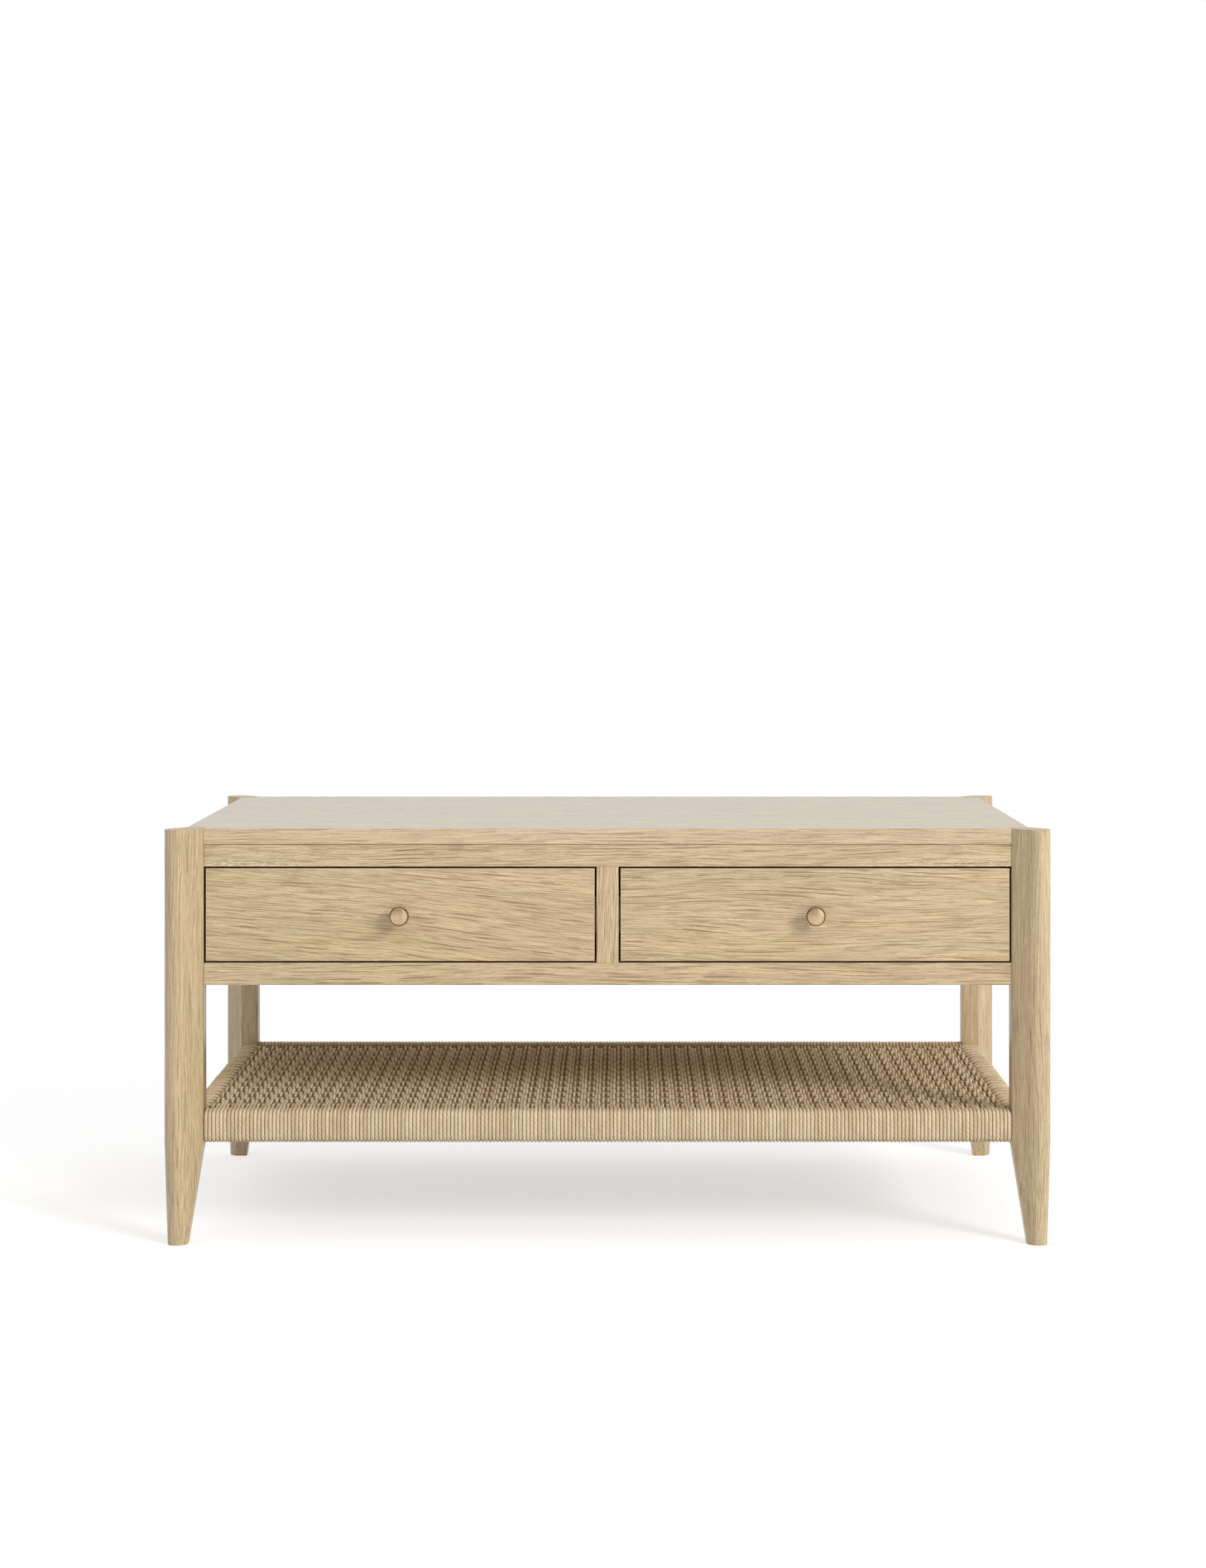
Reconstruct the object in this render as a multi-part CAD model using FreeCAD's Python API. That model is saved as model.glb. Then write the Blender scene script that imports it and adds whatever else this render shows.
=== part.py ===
import FreeCAD, Part
import math
import os

# Storage coffee table: two inset drawers under a flush top, four tapered legs and a shelf of woven cord.
# Millimetres. X is the width, Y points to the back, Z is up. The origin is on the floor, in the middle.

# Whole table
table_width = 1000.0
table_depth = 550.0
table_height = 468.0

# Legs: the inner quarter is square and flush with the cabinet, the outer part swells to a rounded nose.
# From the shelf down the flat sides lean in and the nose narrows to a cone.
leg_width = 43.0
leg_inset = 21.5
leg_nose_radius = 14.0
foot_width = 22.5
foot_draw_in = 3.6
taper_start = 115.0

# Cabinet
top_thickness = 18.0
rail_height = 25.0
rail_depth = 45.0
drawer_opening_height = 109.0
divider_width = 25.0
back_thickness = 18.0
bottom_thickness = 6.0
bottom_rise = 8.0
bottom_groove_depth = 5.0
panel_fit = 0.2
edge_ease = 0.6

# Drawers
drawer_gap = 2.2
front_thickness = 20.0
drawer_side_thickness = 12.0
drawer_side_height = 85.0
drawer_rear_space = 39.0
drawer_side_rise = 8.0
drawer_back_thickness = 12.0
drawer_bottom_thickness = 5.0
drawer_bottom_rise = 8.0
drawer_groove_depth = 5.0
tongue_depth = 8.0
tongue_neck = 7.0
tongue_flare = 1.4
tail_count = 3
tail_flare = 1.8
tail_share = 0.6

# Knobs
knob_reach = 21.5
knob_head_radius = 11.0
knob_head_thickness = 6.5
knob_edge_chamfer = 1.5
knob_neck_radius = 4.5
knob_neck_length = 9.0
knob_screw_radius = 2.0
knob_screw_bite = 9.0
knob_screw_head_radius = 4.0
knob_screw_head_height = 2.2

# Telescopic slides: three nested steel channels whose creased flanges hold each other
slide_height = 45.0
slide_thickness = 12.7
slide_sheet = 1.2
slide_running_gap = 0.35
slide_setback = 2.0
slide_shortfall = 28.0
slide_crease_depth = 2.5
slide_crease_half_width = 3.0
slide_crest_at = 7.6
slide_middle_web_at = 4.2
slide_middle_shortfall = 20.0
slide_screw_shares = (0.08, 0.5, 0.92)

# Screws
screw_radius = 1.75
screw_head_radius = 3.5
screw_head_height = 1.6
screw_length = 12.0
screw_fit = 0.05
screw_sides = 6

# Steel angles that hold the top board down
angle_leg = 20.0
angle_width = 18.0
angle_sheet = 2.0
angle_side_shares = (0.25, 0.75)
angle_back_shares = (0.25, 0.75)

# Dowels
dowel_radius = 4.0
dowel_length = 25.0
dowel_fit = 0.1
dowel_end_gap = 0.3
dowel_sides = 8
side_dowel_shares = (0.25, 0.6)
back_dowel_shares = (0.4, 0.8)
partition_dowel_shares = (0.3, 0.7)

# Woven shelf
shelf_underside = 112.0
shelf_thickness = 38.0
shelf_rail_setback = 2.3
shelf_rail_chamfer = 4.0
shelf_dowel_offset = 5.5
cord_diameter = 4.3
cord_gap = 0.3
wrap_round = 9.0
weave_layers = 2

# One overrun that carries every cut past its faces
overrun = 2.0

# Planes and levels that follow from the sizes above
leg_swell = leg_width - leg_inset
side_plane = table_width / 2 - leg_swell
front_plane = table_depth / 2 - leg_swell
wall_x = side_plane - leg_inset
wall_y = front_plane - leg_inset
board_underside = table_height - top_thickness
opening_top = board_underside - rail_height
opening_bottom = opening_top - drawer_opening_height
cabinet_underside = opening_bottom - rail_height
cabinet_height = board_underside - cabinet_underside
rail_back = rail_depth - front_plane
back_inner = front_plane - back_thickness
bottom_level = cabinet_underside + bottom_rise
bottom_top = bottom_level + bottom_thickness
drawer_floor_level = opening_bottom + drawer_gap
box_level = drawer_floor_level + drawer_side_rise
box_top = box_level + drawer_side_height
front_back = front_thickness - front_plane
box_end = back_inner - drawer_rear_space
floor_level = box_level + drawer_bottom_rise
floor_top = floor_level + drawer_bottom_thickness
knob_level = drawer_floor_level + (drawer_opening_height - 2 * drawer_gap) / 2
slide_level = box_level + drawer_side_height / 2
slide_start = front_back + slide_setback
slide_length = box_end - slide_shortfall - slide_start
shelf_top = shelf_underside + shelf_thickness
shelf_rail_thickness = leg_inset - shelf_rail_setback
shelf_level = shelf_underside + shelf_thickness / 2

along_x = FreeCAD.Vector(1, 0, 0)
along_y = FreeCAD.Vector(0, 1, 0)
along_z = FreeCAD.Vector(0, 0, 1)

pieces = {}


def block(x_low, x_high, y_low, y_high, z_low, z_high):
    """A box between two corners."""
    corner = FreeCAD.Vector(x_low, y_low, z_low)
    return Part.makeBox(x_high - x_low, y_high - y_low, z_high - z_low, corner)


def prism(points, sweep):
    """A solid with a polygon as its end."""
    return Part.Face(Part.makePolygon(points + points[:1])).extrude(sweep)


def pierced(shape, cutters):
    """The shape with a hole for each cutter that reaches it."""
    for cutter in cutters:
        if shape.BoundBox.intersect(cutter.BoundBox):
            shape = shape.cut(cutter)
    return shape


def round_bar(start, direction, length, radius, sides):
    """A many-sided bar along an axis, as wide as the radius allows."""
    across = FreeCAD.Vector(direction.y, direction.z, direction.x) * radius
    turns = [FreeCAD.Rotation(direction, 360 * number / sides) for number in range(sides)]
    return prism([start + turn.multVec(across) for turn in turns], direction * length)


def eased(shape, level, along):
    """The shape with a small chamfer on its edges that run along a direction in the plane y = level."""
    edges = []
    for edge in shape.Edges:
        box = edge.BoundBox
        in_plane = abs(box.YMin - level) < edge_ease and abs(box.YMax - level) < edge_ease
        run = edge.Vertexes[-1].Point - edge.Vertexes[0].Point
        if in_plane and abs(run.dot(along)) > rail_height / 2:
            edges.append(edge)
    return shape.makeChamfer(edge_ease, edges)


# Dowels and their bores

def dowel(place):
    """A dowel whose middle is on the joint."""
    middle, direction = place
    start = middle - direction * (dowel_length / 2)
    return round_bar(start, direction, dowel_length, dowel_radius, dowel_sides)


def dowel_bore(place):
    """The hole for a dowel, through both pieces."""
    middle, direction = place
    length = dowel_length + 2 * dowel_end_gap
    start = middle - direction * (length / 2)
    return round_bar(start, direction, length, dowel_radius + dowel_fit, dowel_sides)


def rail_dowel_places():
    """Each front rail has one dowel into the leg and one into the side panel at each end."""
    places = []
    for level in (board_underside - rail_height / 2, cabinet_underside + rail_height / 2):
        for side in (-1, 1):
            for depth in (leg_inset / 2, (leg_inset + rail_depth) / 2):
                places.append((FreeCAD.Vector(side * wall_x, depth - front_plane, level), along_x))
    for level in (opening_top, opening_bottom):
        places.append((FreeCAD.Vector(0, rail_depth / 2 - front_plane, level), along_z))
    return places


def panel_dowel_places():
    """Side panels into all legs, the back panel into the back legs, the partition into the back panel."""
    places = []
    for side in (-1, 1):
        for share in side_dowel_shares:
            level = cabinet_underside + share * cabinet_height
            for end in (-1, 1):
                places.append((FreeCAD.Vector(side * (wall_x + leg_inset / 2), end * wall_y, level), along_y))
        for share in back_dowel_shares:
            level = cabinet_underside + share * cabinet_height
            places.append((FreeCAD.Vector(side * wall_x, back_inner + back_thickness / 2, level), along_x))
    for share in partition_dowel_shares:
        level = bottom_top + share * (board_underside - bottom_top)
        places.append((FreeCAD.Vector(0, back_inner, level), along_y))
    return places


def shelf_dowel_places():
    """Long and short shelf rails have their dowels at two levels, so that they miss each other in the leg."""
    places = []
    middle = shelf_rail_setback + shelf_rail_thickness / 2
    upper = shelf_level + shelf_dowel_offset
    lower = shelf_level - shelf_dowel_offset
    for side in (-1, 1):
        for end in (-1, 1):
            places.append((FreeCAD.Vector(side * wall_x, end * (front_plane - middle), upper), along_x))
            places.append((FreeCAD.Vector(side * (side_plane - middle), end * wall_y, lower), along_y))
    return places


# Screws and their bores

def screw(seat, direction, length, radius, head_radius, head_height):
    """A pan-head screw: the head stands on the seat, and the shank runs along the direction."""
    shank = round_bar(seat, direction, length, radius, screw_sides)
    head = round_bar(seat - direction * head_height, direction, head_height, head_radius, screw_sides)
    return shank.fuse(head).removeSplitter()


def small_screw(place):
    """One of the table's small steel screws."""
    seat, direction = place
    return screw(seat, direction, screw_length, screw_radius, screw_head_radius, screw_head_height)


def small_bore(place):
    """The hole that a small screw fills."""
    seat, direction = place
    return round_bar(seat, direction, screw_length + dowel_end_gap, screw_radius + screw_fit, screw_sides)


# Legs

def leg_outline(inner_at, nose_radius, level):
    """The section of the back right leg, in distances inwards from where the table's flat sides meet."""
    nose = leg_nose_radius - leg_swell
    reach = math.hypot(leg_inset - nose, nose)
    turn = math.atan2(-nose, leg_inset - nose) - math.acos(leg_nose_radius / reach)
    facing_x, facing_y = math.cos(turn), math.sin(turn)
    flank_start = (nose_radius + nose * (facing_x + facing_y) - inner_at * facing_x) / facing_y
    touch_x, touch_y = nose + nose_radius * facing_x, nose + nose_radius * facing_y
    tip = nose - nose_radius * math.sqrt(1 / 2)

    def place(inward_x, inward_y):
        return FreeCAD.Vector(side_plane - inward_x, front_plane - inward_y, level)

    return Part.Wire([
        Part.makeLine(place(inner_at, inner_at), place(inner_at, flank_start)),
        Part.makeLine(place(inner_at, flank_start), place(touch_x, touch_y)),
        Part.Arc(place(touch_x, touch_y), place(tip, tip), place(touch_y, touch_x)).toShape(),
        Part.makeLine(place(touch_y, touch_x), place(flank_start, inner_at)),
        Part.makeLine(place(flank_start, inner_at), place(inner_at, inner_at)),
    ])


def leg_taper(foot, shoulder):
    """The lower part of a leg: flat sides between two outlines, and a cone between their noses."""
    faces = [Part.Face(foot), Part.Face(shoulder)]
    for low, high in zip(foot.Edges, shoulder.Edges):
        low_start, low_end = (vertex.Point for vertex in low.Vertexes)
        high_start, high_end = (vertex.Point for vertex in high.Vertexes)
        if isinstance(low.Curve, Part.Circle):
            sweep = (low_start - low.Curve.Center).getAngle(low_end - low.Curve.Center)
            ruling = Part.makeLine(low_start, high_start)
            faces.append(ruling.revolve(low.Curve.Center, along_z * -1, math.degrees(sweep)))
        else:
            faces.append(Part.Face(Part.makePolygon([low_start, low_end, high_end, high_start, low_start])))
    shell = Part.makeShell(faces)
    shell.sewShape()
    return Part.Solid(shell)


def leg(side_x, side_y):
    """A straight post with a taper at its lower end, mirrored into its corner."""
    shoulder = leg_outline(leg_inset, leg_nose_radius, taper_start)
    foot = leg_outline(foot_width + foot_draw_in - leg_swell, leg_nose_radius - foot_draw_in, 0)
    post = Part.Face(shoulder).extrude(along_z * (table_height - taper_start))
    whole = post.fuse(leg_taper(foot, shoulder)).removeSplitter()
    if side_x < 0:
        whole = whole.mirror(FreeCAD.Vector(), along_x)
    if side_y < 0:
        whole = whole.mirror(FreeCAD.Vector(), along_y)
    return whole


def leg_corner(side_x, side_y, level_low, level_high, growth):
    """The square that a leg takes out of a board's corner."""
    x_ends = sorted((side_x * (wall_x - growth), side_x * (side_plane + overrun)))
    y_ends = sorted((side_y * (wall_y - growth), side_y * (front_plane + overrun)))
    return block(x_ends[0], x_ends[1], y_ends[0], y_ends[1], level_low, level_high)


# Cabinet

def top_board():
    """The board between the legs' flat sides, notched at its corners, with eased long edges."""
    board = block(-side_plane, side_plane, -front_plane, front_plane, board_underside, table_height)
    for side_x in (-1, 1):
        for side_y in (-1, 1):
            notch = leg_corner(side_x, side_y, board_underside - overrun, table_height + overrun, 0)
            board = board.cut(notch)
    return eased(eased(board, -front_plane, along_x), front_plane, along_x)


def front_rail(level):
    """A rail laid flat between the front legs and the side panels."""
    rail = block(-wall_x, wall_x, -front_plane, rail_back, level, level + rail_height)
    return eased(rail, -front_plane, along_x)


def centre_divider():
    """The upright between the drawer openings."""
    post = block(-divider_width / 2, divider_width / 2, -front_plane, rail_back, opening_bottom, opening_top)
    return eased(post, -front_plane, along_z)


def centre_partition():
    """The wall between the drawers, which carries a slide on each face."""
    return block(-divider_width / 2, divider_width / 2, rail_back, back_inner, bottom_top, board_underside)


def side_panel(side):
    """The panel between a front and a back leg, as thick as the legs' inner quarter."""
    x_ends = sorted((side * wall_x, side * side_plane))
    return block(x_ends[0], x_ends[1], -wall_y, wall_y, cabinet_underside, board_underside)


def back_panel():
    """The panel between the back legs."""
    panel = block(-wall_x, wall_x, back_inner, front_plane, cabinet_underside, board_underside)
    return eased(panel, front_plane, along_x)


def bottom_board(growth):
    """The thin panel under the drawers, or with growth the groove that it fills."""
    reach_x = wall_x + bottom_groove_depth + growth
    y_low = rail_back - bottom_groove_depth - growth
    y_high = back_inner + bottom_groove_depth + growth
    return block(-reach_x, reach_x, y_low, y_high, bottom_level - growth, bottom_top + growth)


def bottom_panel():
    """The thin panel, with its back corners cut round the legs."""
    panel = bottom_board(0)
    for side in (-1, 1):
        panel = panel.cut(leg_corner(side, 1, bottom_level - overrun, bottom_top + overrun, panel_fit))
    return panel


def angle_places():
    """Where the steel angles stand: the corner under the board, and the way into the cabinet."""
    places = []
    for side in (-1, 1):
        for share in angle_side_shares:
            corner = FreeCAD.Vector(side * wall_x, (2 * share - 1) * wall_y, board_underside)
            places.append((corner, along_x * -side))
    for share in angle_back_shares:
        corner = FreeCAD.Vector((2 * share - 1) * wall_x, back_inner, board_underside)
        places.append((corner, along_y * -1))
    return places


def angle_screw_places(place):
    """One screw into the wall and one up into the board."""
    corner, inward = place
    middle = (angle_leg + angle_sheet) / 2
    wall_seat = corner + inward * angle_sheet - along_z * middle
    board_seat = corner - along_z * angle_sheet + inward * middle
    return [(wall_seat, inward * -1), (board_seat, along_z)]


def steel_angle(place):
    """An angle bent from sheet, with a hole in each leg."""
    corner, inward = place
    width = inward.cross(along_z) * angle_width
    start = corner - width / 2
    outline = [(0, 0), (angle_leg, 0), (angle_leg, angle_sheet), (angle_sheet, angle_sheet)]
    outline += [(angle_sheet, angle_leg), (0, angle_leg)]
    points = [start + inward * across - along_z * down for across, down in outline]
    return pierced(prism(points, width), [small_bore(seat) for seat in angle_screw_places(place)])


# Telescopic slides

def left_of(path, distance):
    """The same path moved to its left by a distance, with mitred corners."""
    normals = []
    for start, end in zip(path, path[1:]):
        run = (end - start).normalize()
        normals.append(FreeCAD.Vector(-run.y, run.x, 0))
    moved = [path[0] + normals[0] * distance]
    for point, before, after in zip(path[1:], normals, normals[1:]):
        moved.append(point + (before + after) * (distance / (1 + before.dot(after))))
    moved.append(path[-1] + normals[-1] * distance)
    return moved


def slide_path(member):
    """The outer side of a member: x is the distance from the wall, y the height above the slide's middle."""
    slope = slide_crease_depth / slide_crease_half_width
    nesting = (slide_sheet + slide_running_gap) * math.hypot(1, slope)
    crest = slide_height / 2 - nesting * ("fixed", "middle", "moving").index(member)
    valley = crest - slide_crease_depth
    free_edge = slide_crest_at + slide_crease_half_width
    if member == "fixed":
        half = [(free_edge, valley), (slide_crest_at, crest)]
        half += [(slide_crest_at - slide_crease_half_width, valley), (0, valley)]
    elif member == "middle":
        web_height = crest - slope * (slide_crest_at - slide_middle_web_at)
        half = [(free_edge, valley), (slide_crest_at, crest), (slide_middle_web_at, web_height)]
    else:
        tip_at = slide_middle_web_at + slide_sheet + slide_running_gap
        tip_height = crest - slope * (slide_crest_at - tip_at)
        half = [(tip_at, tip_height), (slide_crest_at, crest), (free_edge, valley), (slide_thickness, valley)]
    path = [FreeCAD.Vector(x, y, 0) for x, y in half]
    path += [FreeCAD.Vector(x, -y, 0) for x, y in reversed(half)]
    return path[::-1] if member == "moving" else path


def slide_member(member, wall, facing):
    """A channel of bent sheet along Y, facing away from its wall."""
    path = slide_path(member)
    outline = path + left_of(path, slide_sheet)[::-1]
    shortfall = slide_middle_shortfall if member == "middle" else 0
    start = slide_start + shortfall / 2
    points = [FreeCAD.Vector(wall + facing * p.x, start, slide_level + p.y) for p in outline]
    return prism(points, along_y * (slide_length - shortfall))


def slide_screw_places(seat, direction):
    """Screws along a slide, from a plane and towards one side."""
    places = []
    for share in slide_screw_shares:
        place = FreeCAD.Vector(seat, slide_start + share * slide_length, slide_level)
        places.append((place, along_x * direction))
    return places


def wall_screw_places(wall, facing):
    """Screws through the fixed member into the wall."""
    return slide_screw_places(wall + facing * slide_sheet, -facing)


def box_screw_places(wall, facing):
    """Screws through the moving member into the drawer's side."""
    return slide_screw_places(wall + facing * (slide_thickness - slide_sheet), facing)


# Drawers

def tongue(outer, facing, growth):
    """The sliding dovetail that joins a drawer side to the front, or with growth its groove."""
    middle = outer + facing * drawer_side_thickness / 2
    neck = tongue_neck / 2 + growth
    tip = neck + tongue_flare
    end = front_back - tongue_depth - growth
    low = box_level - growth
    points = [
        FreeCAD.Vector(middle - neck, front_back, low),
        FreeCAD.Vector(middle + neck, front_back, low),
        FreeCAD.Vector(middle + tip, end, low),
        FreeCAD.Vector(middle - tip, end, low),
    ]
    return prism(points, along_z * (drawer_side_height + 2 * growth))


def tails(outer, facing):
    """The dovetails at the back end of a drawer side, as tall together as the drawer's back."""
    pitch = (box_top - floor_top) / tail_count
    wide = pitch * tail_share
    shapes = []
    for number in range(tail_count):
        middle = floor_top + pitch * (number + 1 / 2)
        points = [
            FreeCAD.Vector(outer, box_end - drawer_back_thickness, middle - wide / 2 + tail_flare),
            FreeCAD.Vector(outer, box_end, middle - wide / 2),
            FreeCAD.Vector(outer, box_end, middle + wide / 2),
            FreeCAD.Vector(outer, box_end - drawer_back_thickness, middle + wide / 2 - tail_flare),
        ]
        shapes.append(prism(points, along_x * (facing * drawer_side_thickness)))
    return shapes


def drawer_floor(bay_low, bay_high, growth):
    """The drawer's bottom, or with growth the grooves that it fills."""
    inset = slide_thickness + drawer_side_thickness - drawer_groove_depth - growth
    y_low = front_back - drawer_groove_depth - growth
    y_high = box_end + (overrun if growth else 0)
    return block(bay_low + inset, bay_high - inset, y_low, y_high, floor_level - growth, floor_top + growth)


def drawer_side(outer, facing, groove):
    """A side board with a dovetail tongue at the front, tails at the back and a groove for the bottom."""
    x_ends = sorted((outer, outer + facing * drawer_side_thickness))
    tail_root = box_end - drawer_back_thickness
    board = block(x_ends[0], x_ends[1], front_back, tail_root, box_level, box_top)
    foot = block(x_ends[0], x_ends[1], tail_root, box_end, box_level, floor_top)
    joined = board.multiFuse([foot, tongue(outer, facing, 0)] + tails(outer, facing))
    return joined.removeSplitter().cut(groove)


def drawer_back(box_low, box_high):
    """The back board above the drawer's bottom, cut to fit the sides' tails."""
    board = block(box_low, box_high, box_end - drawer_back_thickness, box_end, floor_top, box_top)
    for tail in tails(box_low, 1) + tails(box_high, -1):
        board = board.cut(tail)
    return board


def knob_screw(middle):
    """A machine screw from inside the drawer, through the front and into the knob."""
    seat = FreeCAD.Vector(middle, front_back, knob_level)
    length = front_thickness + knob_screw_bite
    head_radius, head_height = knob_screw_head_radius, knob_screw_head_height
    return screw(seat, along_y * -1, length, knob_screw_radius, head_radius, head_height)


def knob_bore(middle):
    """The hole that the knob's screw fills."""
    seat = FreeCAD.Vector(middle, front_back + overrun, knob_level)
    length = overrun + front_thickness + knob_screw_bite + dowel_end_gap
    return round_bar(seat, along_y * -1, length, knob_screw_radius + screw_fit, screw_sides)


def knob(middle):
    """A turned knob: a neck that flares into a flat round head with a chamfered rim."""
    outline = [
        (0, 0),
        (knob_neck_radius, 0),
        (knob_neck_radius, knob_neck_length),
        (knob_head_radius, knob_reach - knob_head_thickness),
        (knob_head_radius, knob_reach - knob_edge_chamfer),
        (knob_head_radius - knob_edge_chamfer, knob_reach),
        (0, knob_reach),
    ]
    points = [FreeCAD.Vector(middle + radius, -front_plane - reach, knob_level) for radius, reach in outline]
    turned = Part.Face(Part.makePolygon(points + points[:1])).revolve(points[0], along_y, 360)
    return turned.cut(knob_bore(middle))


def drawer(name, bay_low, bay_high):
    """All pieces of one drawer between two walls, with its slides."""
    box_low = bay_low + slide_thickness
    box_high = bay_high - slide_thickness
    middle = (bay_low + bay_high) / 2
    groove = drawer_floor(bay_low, bay_high, panel_fit)
    front = block(
        bay_low + drawer_gap, bay_high - drawer_gap, -front_plane, front_back,
        drawer_floor_level, opening_top - drawer_gap,
    )
    front = eased(eased(front, -front_plane, along_x), -front_plane, along_z)
    front = pierced(front, [tongue(box_low, 1, 0), tongue(box_high, -1, 0), groove, knob_bore(middle)])
    pieces[name + "_front"] = front
    pieces[name + "_knob"] = knob(middle)
    pieces[name + "_knob_screw"] = knob_screw(middle)
    pieces[name + "_back"] = drawer_back(box_low, box_high)
    pieces[name + "_bottom"] = drawer_floor(bay_low, bay_high, 0)
    box_screws = []
    for side, wall, facing in (("left", bay_low, 1), ("right", bay_high, -1)):
        slide = name + "_" + side + "_slide_"
        to_wall = [small_bore(place) for place in wall_screw_places(wall, facing)]
        to_box = [small_bore(place) for place in box_screw_places(wall, facing)]
        outer = wall + facing * slide_thickness
        back_off = along_x * (-facing * overrun)
        web_holes = [shape.translated(back_off) for shape in to_box]
        pieces[name + "_" + side + "_side"] = pierced(drawer_side(outer, facing, groove), to_box)
        pieces[slide + "moving"] = pierced(slide_member("moving", wall, facing), web_holes + to_box)
        pieces[slide + "middle"] = slide_member("middle", wall, facing)
        wall_holes = [shape.translated(back_off * -1) for shape in to_wall]
        pieces[slide + "fixed"] = pierced(slide_member("fixed", wall, facing), wall_holes + to_wall)
        box_screws += [small_screw(place) for place in box_screw_places(wall, facing)]
    pieces[name + "_slide_screws"] = Part.makeCompound(box_screws)


# Woven shelf

def shelf_bar(side, along, growth, half_length):
    """The square-edged body of a shelf rail on one side of the table, grown by a thickness."""
    middle = shelf_rail_setback + shelf_rail_thickness / 2
    plane = side_plane if along == along_y else front_plane
    away = along_x if along == along_y else along_y
    across = away * (shelf_rail_thickness / 2 + growth)
    up = along_z * (shelf_thickness / 2 - cord_diameter + growth)
    start = away * (side * (plane - middle)) - along * half_length + along_z * shelf_level
    return prism([start - across - up, start + across - up, start + across + up, start - across + up],
                 along * (2 * half_length))


def long_edges(bar, along):
    """The edges of a bar that run along its direction."""
    edges = []
    for edge in bar.Edges:
        run = edge.Vertexes[1].Point - edge.Vertexes[0].Point
        if abs(run.dot(along)) > 0:
            edges.append(edge)
    return edges


def shelf_rail(side, along, growth, half_length):
    """A chamfered shelf rail or, grown, the space that it fills in the cord round it."""
    bar = shelf_bar(side, along, growth, half_length)
    return bar.makeChamfer(shelf_rail_chamfer + growth, long_edges(bar, along))


def shelf_wrap(side, along, half_length):
    """The cord wound round a rail, as a sleeve."""
    sleeve = shelf_bar(side, along, cord_diameter, half_length)
    sleeve = sleeve.makeFillet(wrap_round, long_edges(sleeve, along))
    return sleeve.cut(shelf_rail(side, along, cord_gap, half_length + overrun))


def woven_panel():
    """The woven field between the wrapped rails."""
    reach_x = wall_x - cord_diameter - cord_gap
    reach_y = wall_y - cord_diameter - cord_gap
    return block(-reach_x, reach_x, -reach_y, reach_y, shelf_top - weave_layers * cord_diameter, shelf_top)


# Build the pieces

rail_places = rail_dowel_places()
panel_places = panel_dowel_places()
shelf_places = shelf_dowel_places()
bores = [dowel_bore(place) for place in rail_places + panel_places]
shelf_bores = [dowel_bore(place) for place in shelf_places]
angle_screws = [place for angle in angle_places() for place in angle_screw_places(angle)]
angle_bores = [small_bore(place) for place in angle_screws]
bays = (("left_drawer", -wall_x, -divider_width / 2), ("right_drawer", divider_width / 2, wall_x))
wall_screws = []
for bay_name, bay_left, bay_right in bays:
    wall_screws += wall_screw_places(bay_left, 1) + wall_screw_places(bay_right, -1)
wall_bores = [small_bore(place) for place in wall_screws]
bottom_groove = bottom_board(panel_fit)

for depth_name, side_y in (("front", -1), ("back", 1)):
    for width_name, side_x in (("left", -1), ("right", 1)):
        pieces["leg_" + depth_name + "_" + width_name] = pierced(leg(side_x, side_y), bores + shelf_bores)
pieces["top_board"] = pierced(top_board(), angle_bores)
pieces["upper_front_rail"] = pierced(front_rail(opening_top), bores)
pieces["lower_front_rail"] = pierced(front_rail(cabinet_underside), bores + [bottom_groove])
pieces["centre_divider"] = pierced(centre_divider(), bores)
pieces["centre_partition"] = pierced(centre_partition(), bores + wall_bores)
for width_name, side_x in (("left", -1), ("right", 1)):
    holes = bores + wall_bores + angle_bores + [bottom_groove]
    pieces["side_panel_" + width_name] = pierced(side_panel(side_x), holes)
pieces["back_panel"] = pierced(back_panel(), bores + angle_bores + [bottom_groove])
pieces["bottom_panel"] = bottom_panel()
pieces["rail_dowels"] = Part.makeCompound([dowel(place) for place in rail_places])
pieces["panel_dowels"] = Part.makeCompound([dowel(place) for place in panel_places])
pieces["top_angles"] = Part.makeCompound([steel_angle(place) for place in angle_places()])
pieces["top_angle_screws"] = Part.makeCompound([small_screw(place) for place in angle_screws])
pieces["slide_wall_screws"] = Part.makeCompound([small_screw(place) for place in wall_screws])

for bay_name, bay_left, bay_right in bays:
    drawer(bay_name, bay_left, bay_right)

long_wrap = wall_x - cord_gap
short_wrap = wall_y - cord_diameter - cord_gap
for depth_name, side_y in (("front", -1), ("back", 1)):
    rail = shelf_rail(side_y, along_x, 0, wall_x)
    pieces["shelf_rail_" + depth_name] = pierced(rail, shelf_bores)
    pieces["shelf_wrap_" + depth_name] = shelf_wrap(side_y, along_x, long_wrap)
for width_name, side_x in (("left", -1), ("right", 1)):
    rail = shelf_rail(side_x, along_y, 0, wall_y)
    pieces["shelf_rail_" + width_name] = pierced(rail, shelf_bores)
    pieces["shelf_wrap_" + width_name] = shelf_wrap(side_x, along_y, short_wrap)
pieces["shelf_dowels"] = Part.makeCompound([dowel(place) for place in shelf_places])
pieces["woven_panel"] = woven_panel()

os.makedirs("parts", exist_ok=True)
for piece_name, piece in pieces.items():
    piece.exportStep("parts/" + piece_name + ".step")
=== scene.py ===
"""Coffee table with two drawers and a woven shelf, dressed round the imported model.

Lengths are in metres. X runs to the right, Y to the back and Z up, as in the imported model.
"""
import logging
import math
import random
from collections.abc import Iterable
from dataclasses import dataclass, field
from enum import Enum
from typing import Any

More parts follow.
